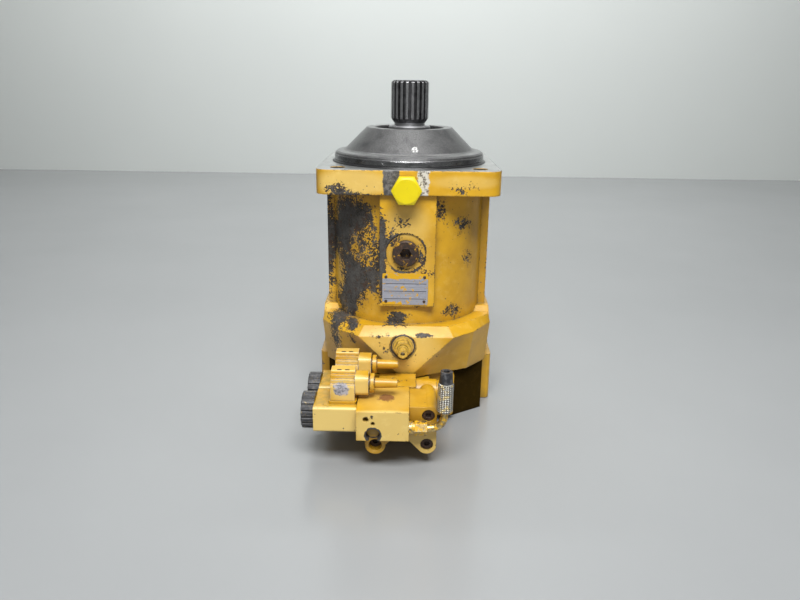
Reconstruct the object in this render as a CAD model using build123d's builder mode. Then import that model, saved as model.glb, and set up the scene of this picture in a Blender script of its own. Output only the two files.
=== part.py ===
"""Bent-axis axial piston unit with its electric control, in millimetres.

The origin is the centre of the pilot on the mounting flange's face. +Z runs out along the shaft, -Y
faces the control side, and the unit stands on the underside of its port plate.
"""

from build123d import *
from math import cos, pi, radians, sin, tan
import os

# ---- Driving dimensions ------------------------------------------------------------------------
# Mounting flange, pilot and the O-ring at the pilot's foot
PILOT_D = 180.0
PILOT_H = 9.0
PILOT_RING_D = 5.0
PILOT_RING_Z = -0.6
FLANGE_SIZE = 204.0
FLANGE_T = 27.0
FLANGE_CORNER = 14.0
BOLT_CIRCLE = 224.0
BOLT_HOLE_D = 17.5
# Nose cone in front of the flange
NOSE_H = 39.5
NOSE_TOP_D = 105.5
NOSE_BASE_D = 153.0
NOSE_BASE_Z = 14.5
SHOULDER_D = 177.6
SHOULDER_Z = 12.2
RETAINING_GROOVE_Z = NOSE_H - 8.0
# Barrel, pad, side ribs and swivel case
BARREL_D = 186.0
BARREL_L = 155.0
PAD_W = 63.0
PAD_Y = 97.0
PAD_L = 129.0
RIB_X = 97.5
RIB_W = 56.0
CASE_H = 58.0
CASE_FRONT = 110.0
CASE_SIDE = 103.0
CASE_BACK = 116.0
CASE_RISE = 9.0
CASE_FLAT = 55.0
CASE_KEEL = 3.0
SIDE_BOSS_H = 31.0
# Plugs, plate and test point on the housing, which sit a little left of the shaft's plane
PAD_FEATURE_X = -2.0
PLUG_Z = -93.0
PLUG_SPOT_D = 45.0
PLUG_HEAD_D = 30.0
PLUG_HEAD_H = 5.2
PLUG_SHANK_D = 24.0
PLUG_SHANK_L = 14.0
SPOT_DEPTH = 1.2
CAP_UP = 6.5
CAP_FLATS = 29.0
CAP_SHANK_D = 20.0
CAP_SHANK_L = 12.0
CAP_HEAD_L = 14.0
NAMEPLATE_W = 52.0
NAMEPLATE_H = 37.0
NAMEPLATE_T = 0.8
NAMEPLATE_Z = -135.0
NIPPLE_X = -3.5
NIPPLE_DROP = 19.0
NIPPLE_SHANK_D = 14.0
# Port plate
PLATE_H = 65.0
PLATE_X = 96.0
PLATE_FRONT = 76.0
PLATE_BACK = 106.0
PLATE_CORNER_X = 60.0
CHEEK_X = 110.0
CHEEK_W = 92.0
PORT_Y = 20.0
PORT_Z_UP = 32.5
PORT_DEPTH = 60.0
PORT_FEED_D = 22.0
PORT_FEED_END = 30.0
PLATE_BOLT_D = 12.0
PLATE_BOLT_GRIP = 22.0
# Work ports: side, bore, spacing along Y, spacing along Z, thread bore
PRESSURE_PORT = (1, 32.0, 66.7, 31.8, 11.8)
SUCTION_PORT = (-1, 38.0, 69.9, 35.7, 10.2)
PORT_THREAD_L = 21.0
# Shaft
SPLINE_TEETH = 21
SPLINE_D = 44.6
SPLINE_ROOT_D = 40.2
SPLINE_L = 43.0
SHAFT_END = 93.0
SEAL_JOURNAL_D = 50.0
FRONT_JOURNAL_D = 60.0
REAR_JOURNAL_D = 76.0
DRIVE_FLANGE_D = 120.0
BALL_UP = 136.0
# Bearings
FRONT_BORE_D = 110.0
FRONT_BEARING_W = 30.0
FRONT_BEARING_Z = 10.0
REAR_BORE_D = 130.0
REAR_BEARING_W = 40.0
LAND_T = 16.0
LAND_D = 98.0
ROLLERS = 16
RACE_ANGLE = 13.0
# Rotating group
PISTONS = 7
PISTON_CIRCLE = 78.0
PISTON_D = 22.0
PISTON_BALL_D = 18.0
PISTON_L = 86.0
RETAINER_T = 8.0
RETAINER_SCREW_D = 5.0
RETAINER_SCREW_L = 12.0
BLOCK_D = 112.0
BLOCK_L = 78.0
BLOCK_DROP = 46.0
LENS_T = 24.0
PIN_BALL_D = 22.0
PIN_BORE_D = 20.0
SPRING_SEAT = 8.0
# Stroking piston and the cover on its bore
STROKE_BORE_D = 22.0
STROKE_PIN_D = 10.0
STROKE_BLIND = 40.0
COVER_W = 54.0
COVER_H = 44.0
COVER_T = 14.0
CLAMP_SCREW_D = 8.0
CLAMP_SCREW_L = 18.0
# Control body and pilot block
COIL_BACK_Y = -100.0
COIL_SPACE = 1.0
CONTROL_DROP = 9.2
BLOCK_H = 33.0
CONTROL_FACE_X = -50.5
BODY_Y = -150.0
BODY_LEFT = -37.5
BODY_RIGHT = 28.5
BODY_FOOT_T = 12.0
FOOT_SCREW_X = 48.0
FOOT_SCREW_UP = (53.0, 14.0)
BLOCK_FRONT = -213.0
BLOCK_RIGHT = 4.5
WING_FRONT = -196.0
WING_RIGHT = 34.0
LUG_R = 11.0
BLOCK_SCREW_D = 8.0
BLOCK_SCREW_OFFSETS = ((25.0, 4.7), (24.0, -29.3), (-31.0, -27.3))
BLOCK_SCREW_GRIP = 12.0
GAUGE_PORT = (-40.5, 7.7, 3.0)
LOCK_SCREW = (-33.0, 3.2, 2.2)
PLUGGED_PORT = (-33.0, -10.3, 7.6)
END_BOSS_D = 28.0
END_BOSS_X = 36.0
CASE_GAP = 2.0
# Solenoids, spools and cable plugs
COIL_SIZE = 50.0
COIL_H = 28.0
COIL_L = 46.0
SPOOL_D = 14.0
SPOOL_L = 32.0
CORE_D = 22.0
CORE_NOSE_D = 18.0
CORE_NOSE_L = 9.0
END_PLUG_D = 20.0
END_PLUG_L = 10.0
CAP_NUT_D = 40.0
CAP_NUT_L = 14.0
CAP_NUT_FINS = 18
ARMATURE_D = 14.0
OVERRIDE_D = 6.0
OVERRIDE_TRAVEL = 3.0
PUSH_ROD_D = 5.0
PLUG_X = -66.5
PLUG_W = 26.0
PLUG_H = 30.0
PLUG_NOSE_L = 16.0
BOOT_L = 24.5
# Pilot pipe
PIPE_Y = -204.5
PIPE_DROP = 5.3
PIPE_D = 8.0
PIPE_BORE_D = 4.5
PIPE_THREAD_D = 12.0
PIPE_RUN_X = 41.0
PIPE_BEND_R = 15.0
PIPE_UP = 59.2
SLEEVE_D = 16.5
SLEEVE_UP = 46.2
PIPE_CAP_D = 12.6
# Clearances
SEAT = 0.02
RUN = 0.04
FREE = 0.3
OIL_GAP = 0.05

# ---- Places worked out from the driving dimensions -----------------------------------------------
z_case_top = -FLANGE_T - BARREL_L
z_joint = z_case_top - CASE_H
z_base = z_joint - PLATE_H
z_front_bearing_low = FRONT_BEARING_Z - FRONT_BEARING_W
z_rear_bearing_top = z_front_bearing_low - LAND_T
z_rear_bearing_low = z_rear_bearing_top - REAR_BEARING_W
z_flange_top = z_rear_bearing_low - 4.0
z_ball = z_joint + BALL_UP
z_block_top = z_ball - BLOCK_DROP
z_block_low = z_block_top - BLOCK_L
z_lens_top = z_block_low - OIL_GAP
z_track = z_lens_top - LENS_T
track_radius = z_ball - z_track
z_port = z_base + PORT_Z_UP
z_stroke = z_track - 24.0
piston_ring_r = PISTON_CIRCLE / 2
case_bore_r = DRIVE_FLANGE_D / 2 + 8.0
seal_bore_r = NOSE_TOP_D / 2 - 11.5
z_cap = -FLANGE_T + CAP_UP
z_nipple = z_case_top - NIPPLE_DROP
z_control = z_joint - CONTROL_DROP
rear_axis_y = COIL_BACK_Y - COIL_SIZE / 2
front_axis_y = rear_axis_y - COIL_SIZE - COIL_SPACE
z_foot_screws = [z_base + up for up in FOOT_SCREW_UP]
block_screw_places = [(x, z_control + up) for x, up in BLOCK_SCREW_OFFSETS]
z_pipe = z_control - PIPE_DROP
z_pipe_top = z_control + PIPE_UP
z_sleeve_top = z_control + SLEEVE_UP
control_top = z_control + BLOCK_H / 2
control_low = z_control - BLOCK_H / 2
coil_top = z_control + COIL_H / 2
plug_nose_z = coil_top + 3.0 + PLUG_H * 0.52
spool_start = CONTROL_FACE_X + CORE_NOSE_L + 2.0
sleeve_low = z_pipe + 12.0

os.makedirs("parts", exist_ok=True)


def save(builder, name):
    """Label a finished piece and write it as its own STEP file."""
    builder.part.label = name
    export_step(builder.part, f"parts/{name}.step")


def outline(points):
    """Straight-sided face through the points, such as (radius, z) points of a turned piece."""
    Polygon(*points, align=None)


def at_y(y, z=0.0, x=0.0):
    """Plane facing -Y at depth y, whose local x is +X and local y is +Z."""
    return Plane(origin=(x, y, z), x_dir=(1, 0, 0), z_dir=(0, -1, 0))


def at_x(x, y=0.0, z=0.0):
    """Plane facing +X at x, whose local x is +Y and local y is +Z."""
    return Plane(origin=(x, y, z), x_dir=(0, 1, 0), z_dir=(1, 0, 0))


def hex_radius(across_flats):
    """Corner radius of a hexagon from its width across flats."""
    return across_flats / 2 / cos(pi / 6)


# ---- Housing: nose, pilot, flange, barrel and swivel case in one casting ------------------------
def case_outline(front, side, back, front_flat, corner):
    """Ten-cornered plan of the swivel case; corner is the point between front and side facets."""
    corner_x, corner_y = corner
    slope = 0.50 * side
    Polygon(
        (-front_flat, -front), (front_flat, -front), (corner_x, -corner_y), (side, -slope),
        (side, slope), (front_flat + 30, back), (-front_flat - 30, back), (-side, slope),
        (-side, -slope), (-corner_x, -corner_y), align=None)


def housing():
    with BuildPart() as part:
        with BuildSketch(Plane.XZ):
            outline([
                (0, NOSE_H), (NOSE_TOP_D / 2 - 1.5, NOSE_H), (NOSE_TOP_D / 2, NOSE_H - 1.5),
                (NOSE_BASE_D / 2, NOSE_BASE_Z), (NOSE_BASE_D / 2 + 2.5, SHOULDER_Z + 0.8),
                (SHOULDER_D / 2 - 2.2, SHOULDER_Z), (SHOULDER_D / 2, SHOULDER_Z - 1.8),
                (SHOULDER_D / 2, PILOT_H), (PILOT_D / 2, PILOT_H - 1), (PILOT_D / 2, 0), (0, 0),
            ])
        revolve(axis=Axis.Z)
        with BuildSketch(Plane.XY):
            RectangleRounded(FLANGE_SIZE, FLANGE_SIZE, FLANGE_CORNER)
        extrude(amount=-FLANGE_T)
        with BuildSketch(Plane.XY.offset(-FLANGE_T)):
            Circle(BARREL_D / 2)
            Rectangle(2 * RIB_X, RIB_W)
        extrude(amount=-BARREL_L)
        with BuildSketch(Plane.XY.offset(-FLANGE_T)):
            with Locations((0, -PAD_Y / 2)):
                Rectangle(PAD_W, PAD_Y)
        extrude(amount=-PAD_L)
        swivel_case()
        side_bosses()
        housing_bores()
        with PolarLocations(BOLT_CIRCLE / 2, 4, start_angle=45):
            Hole(BOLT_HOLE_D / 2, depth=3 * FLANGE_T)
        pilot_groove()
        drain_port()
        pad = at_y(-PAD_Y, PLUG_Z, PAD_FEATURE_X)
        spot_face(pad, PLUG_SPOT_D / 2, PLUG_SHANK_D / 2 + SEAT, PLUG_SHANK_L)
        spot_face(at_y(-CASE_FRONT, z_nipple, NIPPLE_X), 15.5, NIPPLE_SHANK_D / 2 + SEAT, 14.0)
        port_plate_threads()
    save(part, "housing")


def swivel_case():
    """Flared case under the barrel: a ledge that rises to the sides, then a faceted skirt."""
    ledge = 7.0
    with BuildSketch(Plane.XY.offset(z_case_top + 3)) as shoulder:
        case_outline(CASE_FRONT - 11, CASE_SIDE - 3, CASE_BACK - 14, CASE_FLAT - 6, (74.0, 80.0))
    with BuildSketch(Plane.XY.offset(z_case_top - ledge)) as rim:
        case_outline(CASE_FRONT, CASE_SIDE, CASE_BACK, CASE_FLAT, (80.0, 88.0))
    with BuildSketch(Plane.XY.offset(z_joint)) as foot:
        case_outline(CASE_FRONT + 2, CASE_SIDE - 5, CASE_BACK - 2, CASE_KEEL, (74.0, 78.0))
    loft([shoulder.sketch, rim.sketch], ruled=True)
    loft([rim.sketch, foot.sketch], ruled=True)
    side_y = CASE_SIDE / 2
    for side in (-1, 1):
        with BuildSketch(at_x(side * (BARREL_D / 2 - 18))) as hump:
            Polygon((-side_y - 2, z_case_top - ledge), (-side_y + 16, z_case_top + CASE_RISE),
                    (CASE_BACK - 20, z_case_top + CASE_RISE), (CASE_BACK - 6, z_case_top - ledge),
                    align=None)
        extrude(hump.sketch, amount=side * (CASE_SIDE - 1 - BARREL_D / 2 + 18))


def side_bosses():
    """Machined leakage-port faces low on both sides of the swivel case."""
    with BuildSketch(Plane.XY.offset(z_joint + 4)) as profile:
        with Locations((0, PORT_Y)):
            RectangleRounded(2 * (CASE_SIDE + 4), 54, 4)
    extrude(profile.sketch, amount=SIDE_BOSS_H)


def housing_bores():
    """Everything turned on the shaft axis, then the wider room in the swivel case."""
    groove = RETAINING_GROOVE_Z
    seal = seal_bore_r
    with BuildSketch(Plane.XZ) as profile:
        outline([
            (0, NOSE_H), (seal + 1.0, NOSE_H), (seal, NOSE_H - 1.0), (seal, groove + 2.2),
            (seal + 2, groove + 2.2), (seal + 2, groove), (seal, groove),
            (seal, FRONT_BEARING_Z), (FRONT_BORE_D / 2, FRONT_BEARING_Z),
            (FRONT_BORE_D / 2, z_front_bearing_low), (LAND_D / 2, z_front_bearing_low),
            (LAND_D / 2, z_rear_bearing_top), (REAR_BORE_D / 2, z_rear_bearing_top),
            (REAR_BORE_D / 2, z_rear_bearing_low), (case_bore_r, z_rear_bearing_low),
            (case_bore_r, z_case_top - 8), (0, z_case_top - 8),
        ])
    revolve(profile.sketch, axis=Axis.Z, mode=Mode.SUBTRACT)
    with BuildSketch(Plane.XY.offset(z_joint)) as profile:
        case_room(0)
    extrude(profile.sketch, amount=z_case_top - z_joint - 8, mode=Mode.SUBTRACT)


def case_room(grow, mode=Mode.ADD):
    """Plan of the oval room that the cylinder block swings in, longer towards the back."""
    half_x = BLOCK_D / 2 + 6.0 + grow
    front = BLOCK_D / 2 + 4.0 + grow
    back = PLATE_BACK - 28.0 + grow
    with Locations((0, (back - front) / 2)):
        RectangleRounded(2 * half_x, front + back, 30.0 + grow, mode=mode)


def pilot_groove():
    with BuildSketch(Plane.XZ) as profile:
        with Locations((PILOT_D / 2 + SEAT, PILOT_RING_Z)):
            Rectangle(PILOT_RING_D + 0.2, PILOT_RING_D + 0.2)
    revolve(profile.sketch, axis=Axis.Z, mode=Mode.SUBTRACT)


def drain_port():
    with BuildSketch(at_y(-FLANGE_SIZE / 2, z_cap, PAD_FEATURE_X)) as profile:
        Circle(CAP_SHANK_D / 2 + SEAT)
    extrude(profile.sketch, amount=-CAP_SHANK_L - 1, mode=Mode.SUBTRACT)


def spot_face(plane, spot_r, hole_r, hole_depth):
    """Round machined seat, cut clear of any slope in front of it, with a blind hole in its middle."""
    with BuildSketch(plane.offset(3)) as seat:
        Circle(spot_r)
    extrude(seat.sketch, amount=-3 - SPOT_DEPTH, mode=Mode.SUBTRACT)
    with BuildSketch(plane) as hole:
        Circle(hole_r)
    extrude(hole.sketch, amount=-SPOT_DEPTH - hole_depth - 1, mode=Mode.SUBTRACT)


def plate_bolt_places():
    """The six bolts that hold the port plate, clear of the room and the port galleries."""
    far_x = PLATE_X - 17.0
    return [(s * far_x, y) for s in (-1, 1) for y in (-44.0, PLATE_BACK - 38.0)] + [
        (s * 32.0, PLATE_BACK - 13.0) for s in (-1, 1)
    ]


def port_plate_threads():
    with BuildSketch(Plane.XY.offset(z_joint)) as profile:
        with Locations(*plate_bolt_places()):
            Circle(PLATE_BOLT_D / 2 + SEAT)
    extrude(profile.sketch, amount=PLATE_BOLT_GRIP + 2, mode=Mode.SUBTRACT)


# ---- Pieces on the housing ----------------------------------------------------------------------


def pilot_o_ring():
    with BuildPart() as part:
        with BuildSketch(Plane.XZ):
            with Locations((PILOT_D / 2 + SEAT, PILOT_RING_Z)):
                Circle(PILOT_RING_D / 2)
        revolve(axis=Axis.Z)
    save(part, "pilot_o_ring")


def seal_parts():
    """Seal carrier, its lip seal and the ring that holds it in the nose."""
    seal_r = SEAL_JOURNAL_D / 2 + 8.0
    low, top = FRONT_BEARING_Z + 0.5, RETAINING_GROOVE_Z - 0.1
    with BuildPart() as carrier:
        with BuildSketch(Plane.XZ):
            outer = seal_bore_r - SEAT
            outline([
                (outer, low), (outer, top - 1), (outer - 1, top), (SEAL_JOURNAL_D / 2 + 2.5, top),
                (SEAL_JOURNAL_D / 2 + 2.5, top - 3), (seal_r, top - 3), (seal_r, low),
            ])
        revolve(axis=Axis.Z)
    save(carrier, "seal_carrier")
    with BuildPart() as seal:
        with BuildSketch(Plane.XZ):
            shaft_r = SEAL_JOURNAL_D / 2 + RUN
            outline([
                (seal_r - SEAT, low + 2), (seal_r - SEAT, top - 3.1), (shaft_r + 1, top - 3.1),
                (shaft_r, top - 5), (shaft_r, top - 7), (shaft_r + 2.5, top - 9),
                (shaft_r + 2.5, low + 5), (shaft_r + 5.5, low + 5), (shaft_r + 5.5, low + 2),
            ])
        revolve(axis=Axis.Z)
    save(seal, "shaft_seal")
    with BuildPart() as ring:
        with BuildSketch(Plane.XY.offset(RETAINING_GROOVE_Z + 0.1)):
            Circle(seal_bore_r + 1.8)
            Circle(seal_bore_r - 4.0, mode=Mode.SUBTRACT)
            with Locations((0, seal_bore_r)):
                Rectangle(12, 16, mode=Mode.SUBTRACT)
            with Locations((-9.5, seal_bore_r - 5.5), (9.5, seal_bore_r - 5.5)):
                Circle(3.2)
            with Locations((-9.5, seal_bore_r - 6.0), (9.5, seal_bore_r - 6.0)):
                Circle(1.2, mode=Mode.SUBTRACT)
        extrude(amount=2.0)
    save(ring, "retaining_ring")


def transport_cap():
    """Plastic hexagon cap in the drain port."""
    front = -FLANGE_SIZE / 2
    with BuildPart() as part:
        with BuildSketch(at_y(front, z_cap, PAD_FEATURE_X)):
            RegularPolygon(hex_radius(CAP_FLATS), 6)
        extrude(amount=CAP_HEAD_L)
        with BuildSketch(Plane(origin=(PAD_FEATURE_X, 0, z_cap), x_dir=(0, -1, 0), z_dir=(1, 0, 0))):
            face = -front + CAP_HEAD_L
            corner = hex_radius(CAP_FLATS)
            Polygon((face - 2.2, corner + 1), (face + 1, corner + 1), (face + 1, 0),
                     (face, 0), (face, CAP_FLATS / 2 - 1.5), align=None)
        revolve(axis=Axis((PAD_FEATURE_X, 0, z_cap), (0, 1, 0)), mode=Mode.SUBTRACT)
        with BuildSketch(at_y(front, z_cap, PAD_FEATURE_X)):
            Circle(CAP_SHANK_D / 2)
        extrude(amount=-CAP_SHANK_L)
    save(part, "transport_cap")


def pad_plug():
    """Screw plug with an internal hexagon in the pad's spot face."""
    seat = -PAD_Y + SPOT_DEPTH
    with BuildPart() as part:
        with BuildSketch(at_y(seat, PLUG_Z, PAD_FEATURE_X)):
            Circle(PLUG_HEAD_D / 2)
        extrude(amount=PLUG_HEAD_H)
        chamfer(part.edges().sort_by(Axis.Y)[0], 1.2)
        with BuildSketch(at_y(seat, PLUG_Z, PAD_FEATURE_X)):
            Circle(PLUG_SHANK_D / 2)
        extrude(amount=-PLUG_SHANK_L)
        with BuildSketch(at_y(seat - PLUG_HEAD_H, PLUG_Z, PAD_FEATURE_X)):
            RegularPolygon(hex_radius(12.0), 6)
        extrude(amount=-9.0, mode=Mode.SUBTRACT)
    save(part, "pad_plug")


def nameplate():
    rivets = [(s * (NAMEPLATE_W / 2 - 4), NAMEPLATE_Z + t * (NAMEPLATE_H / 2 - 4))
              for s in (-1, 1) for t in (-1, 1)]
    with BuildPart() as part:
        with BuildSketch(at_y(-PAD_Y, 0, PAD_FEATURE_X)):
            with Locations((0, NAMEPLATE_Z)):
                RectangleRounded(NAMEPLATE_W, NAMEPLATE_H, 1.5)
        extrude(amount=NAMEPLATE_T)
        with BuildSketch(at_y(-PAD_Y - NAMEPLATE_T, 0, PAD_FEATURE_X)):
            with Locations((0, NAMEPLATE_Z + 7), (0, NAMEPLATE_Z), (0, NAMEPLATE_Z - 7)):
                Rectangle(NAMEPLATE_W - 6, 5.2)
        extrude(amount=-0.25, mode=Mode.SUBTRACT)
    save(part, "nameplate")
    with BuildPart() as part:
        with BuildSketch(at_y(-PAD_Y - NAMEPLATE_T, 0, PAD_FEATURE_X)):
            with Locations(*rivets):
                Circle(1.7)
        extrude(amount=1.0)
        fillet(part.edges().group_by(Axis.Y)[0], 0.7)
    save(part, "nameplate_rivets")


def test_nipple():
    """Pressure test point: collar, hexagon and tube, with a sprung poppet in its mouth."""
    seat = -CASE_FRONT + SPOT_DEPTH
    with BuildPart() as part:
        for radius, start, length in ((11.0, 0, 4.0), (5.0, 4, 20.0), (6.2, 12, 3.0)):
            with BuildSketch(at_y(seat - start, z_nipple, NIPPLE_X)):
                Circle(radius)
            extrude(amount=length)
        with BuildSketch(at_y(seat - 4, z_nipple, NIPPLE_X)):
            RegularPolygon(hex_radius(17.0), 6)
        extrude(amount=7.0)
        with BuildSketch(at_y(seat, z_nipple, NIPPLE_X)):
            Circle(NIPPLE_SHANK_D / 2)
        extrude(amount=-13.0)
        with BuildSketch(at_y(seat - 24, z_nipple, NIPPLE_X)):
            Circle(2.6)
        extrude(amount=-20.0, mode=Mode.SUBTRACT)
    save(part, "test_nipple")
    with BuildPart() as part:
        with BuildSketch(at_y(seat - 19, z_nipple, NIPPLE_X)):
            Circle(2.6 - RUN)
        extrude(amount=-9.0)
    save(part, "test_poppet")


# ---- Taper roller bearings ----------------------------------------------------------------------
def bearing(name, z_top, width, inner_r, outer_r, lean):
    """Cup, cone and caged rollers. lean is +1 when the races open upwards and -1 when they open down."""
    slope = tan(radians(RACE_ANGLE)) * lean
    middle_r, middle_z = (inner_r + outer_r) / 2, z_top - width / 2
    roller_r = (outer_r - inner_r) * 0.27
    roller_l = width * 0.62
    half_gap = (roller_r + OIL_GAP) / cos(radians(RACE_ANGLE))

    def race(z, side):
        return middle_r + (z - middle_z) * slope + side * half_gap

    z_low = z_top - width
    with BuildPart() as cup:
        with BuildSketch(Plane.XZ):
            outline([(race(z_low, 1), z_low), (outer_r - SEAT, z_low),
                          (outer_r - SEAT, z_top), (race(z_top, 1), z_top)])
        revolve(axis=Axis.Z)
    save(cup, f"{name}_cup")
    with BuildPart() as cone:
        with BuildSketch(Plane.XZ):
            outline([(inner_r + SEAT, z_low), (race(z_low, -1), z_low),
                          (race(z_top, -1), z_top), (inner_r + SEAT, z_top)])
        revolve(axis=Axis.Z)
    save(cone, f"{name}_cone")
    with BuildPart() as cage:
        half = roller_l / 2 + 3
        band = 1.2
        with BuildSketch(Plane.XZ):
            outline([
                (middle_r - half * slope - band, middle_z - half),
                (middle_r - half * slope + band, middle_z - half),
                (middle_r + half * slope + band, middle_z + half),
                (middle_r + half * slope - band, middle_z + half),
            ])
        revolve(axis=Axis.Z)
        axis_dir = (sin(radians(RACE_ANGLE)) * lean, 0, cos(radians(RACE_ANGLE)))
        roller_plane = Plane(origin=(middle_r, 0, middle_z), x_dir=(0, 1, 0), z_dir=axis_dir)
        turns = [Location((0, 0, 0), (0, 0, 360.0 * n / ROLLERS)) for n in range(ROLLERS)]
        planes = [Plane(turn * roller_plane.location) for turn in turns]
        for plane in planes:
            with BuildSketch(plane):
                Circle(roller_r + FREE)
            extrude(amount=roller_l / 2 + FREE, both=True, mode=Mode.SUBTRACT)
        for plane in planes:
            with BuildSketch(plane):
                Circle(roller_r)
            extrude(amount=roller_l / 2, both=True)
    save(cage, f"{name}_rollers")


# ---- Rotating group -------------------------------------------------------------------------------
def drive_shaft():
    """Splined shaft with an integral drive flange that carries the piston sockets."""
    spline_low = SHAFT_END - SPLINE_L
    neck_r = SPLINE_ROOT_D / 2 - 2.0
    seal_r, front_r, rear_r = SEAL_JOURNAL_D / 2, FRONT_JOURNAL_D / 2, REAR_JOURNAL_D / 2
    with BuildPart() as part:
        with BuildSketch(Plane.XZ):
            outline([
                (0, SHAFT_END), (SPLINE_ROOT_D / 2 - 1, SHAFT_END),
                (SPLINE_D / 2, SHAFT_END - 2.6), (SPLINE_D / 2, spline_low),
                (neck_r, spline_low - 6), (neck_r, NOSE_H + 2), (seal_r - 1.5, NOSE_H + 2),
                (seal_r, NOSE_H + 0.5), (seal_r, FRONT_BEARING_Z), (front_r, FRONT_BEARING_Z),
                (front_r, z_front_bearing_low - 1), (rear_r - 3, z_front_bearing_low - 1),
                (rear_r - 3, z_rear_bearing_top + 1), (rear_r, z_rear_bearing_top + 1),
                (rear_r, z_rear_bearing_low), (rear_r + 6, z_rear_bearing_low),
                (rear_r + 6, z_flange_top), (DRIVE_FLANGE_D / 2 - 2, z_flange_top),
                (DRIVE_FLANGE_D / 2, z_flange_top - 2), (DRIVE_FLANGE_D / 2, z_ball), (0, z_ball),
            ])
        revolve(axis=Axis.Z)
        groove = 360.0 / SPLINE_TEETH
        root_r, tip_r = SPLINE_ROOT_D / 2, SPLINE_D / 2 + 1
        with BuildSketch(Plane.XY.offset(SHAFT_END)):
            with PolarLocations(0, SPLINE_TEETH, start_angle=90 + groove / 2):
                Polygon((root_r, -1.2), (tip_r, -2.1), (tip_r, 2.1), (root_r, 1.2), align=None)
        extrude(amount=-SPLINE_L - 6, mode=Mode.SUBTRACT)
        with Locations((0, 0, SHAFT_END)):
            Hole(3.4, depth=24)
            Hole(6.5, depth=4)
        with PolarLocations(piston_ring_r, PISTONS):
            with Locations((0, 0, z_ball)):
                Sphere(PISTON_BALL_D / 2 + OIL_GAP, mode=Mode.SUBTRACT)
        with Locations((0, 0, z_ball)):
            Sphere(PIN_BALL_D / 2 + OIL_GAP, mode=Mode.SUBTRACT)
        retainer_screw_holes(z_ball)
    save(part, "drive_shaft")


def retainer_screw_holes(z_top):
    """Threads for the retaining plate's screws, between the piston sockets."""
    with BuildSketch(Plane.XY.offset(z_top)) as profile:
        with PolarLocations(piston_ring_r + 12, PISTONS, start_angle=180.0 / PISTONS):
            Circle(RETAINER_SCREW_D / 2 + SEAT)
    extrude(profile.sketch, amount=RETAINER_SCREW_L, mode=Mode.SUBTRACT)




def retaining_plate():
    """Plate that holds the piston balls and the centre pin's ball in their sockets."""
    low = z_ball - RETAINER_T
    screw_ring = piston_ring_r + 12
    with BuildPart() as part:
        with BuildSketch(Plane.XY.offset(low)):
            Circle(DRIVE_FLANGE_D / 2 - 1)
        extrude(amount=RETAINER_T)
        with PolarLocations(piston_ring_r, PISTONS):
            with Locations((0, 0, z_ball)):
                Sphere(PISTON_BALL_D / 2 + OIL_GAP, mode=Mode.SUBTRACT)
        with Locations((0, 0, z_ball)):
            Sphere(PIN_BALL_D / 2 + OIL_GAP, mode=Mode.SUBTRACT)
        with BuildSketch(Plane.XY.offset(low)):
            with PolarLocations(piston_ring_r, PISTONS):
                Circle(PISTON_BALL_D / 2 - 1)
            Circle(PIN_BALL_D / 2 - 1.2)
        extrude(amount=RETAINER_T / 2 + 0.5, mode=Mode.SUBTRACT)
        with BuildSketch(Plane.XY.offset(low)):
            with PolarLocations(screw_ring, PISTONS, start_angle=180.0 / PISTONS):
                Circle(RETAINER_SCREW_D / 2 + SEAT)
        extrude(amount=RETAINER_T, mode=Mode.SUBTRACT)
    save(part, "retaining_plate")
    with BuildPart() as screws:
        with BuildSketch(Plane.XY.offset(low)):
            with PolarLocations(screw_ring, PISTONS, start_angle=180.0 / PISTONS):
                Circle(RETAINER_SCREW_D / 2)
        extrude(amount=RETAINER_T + RETAINER_SCREW_L - 2)
        with BuildSketch(Plane.XY.offset(low)):
            with PolarLocations(screw_ring, PISTONS, start_angle=180.0 / PISTONS):
                Circle(RETAINER_SCREW_D * 0.8)
        extrude(amount=-3)
        with BuildSketch(Plane.XY.offset(low - 3)):
            with PolarLocations(screw_ring, PISTONS, start_angle=180.0 / PISTONS):
                RegularPolygon(hex_radius(3.0), 6)
        extrude(amount=2, mode=Mode.SUBTRACT)
    save(screws, "retaining_plate_screws")


def piston(number):
    """Tapered piston whose ball sits in the drive flange and whose head runs in the block."""
    angle = radians(360.0 * number / PISTONS)
    x, y = piston_ring_r * cos(angle), piston_ring_r * sin(angle)
    ball_r, head_r = PISTON_BALL_D / 2, PISTON_D / 2 - RUN
    end = z_ball - PISTON_L
    neck_r = ball_r * 0.55
    with BuildPart() as part:
        with BuildSketch(Plane(origin=(x, y, 0), x_dir=(1, 0, 0), z_dir=(0, -1, 0))):
            outline([
                (0, z_ball), (neck_r, z_ball), (neck_r, z_ball - RETAINER_T - 4),
                (head_r - 1.6, end + 18), (head_r, end + 13), (head_r, end + 9),
                (head_r - 1.2, end + 8.5), (head_r - 1.2, end + 6.5), (head_r, end + 6),
                (head_r, end + 1), (head_r - 1, end), (0, end),
            ])
        revolve(axis=Axis((x, y, 0), (0, 0, 1)))
        with Locations((x, y, z_ball)):
            Sphere(ball_r)
    save(part, f"piston_{number + 1}")


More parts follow.
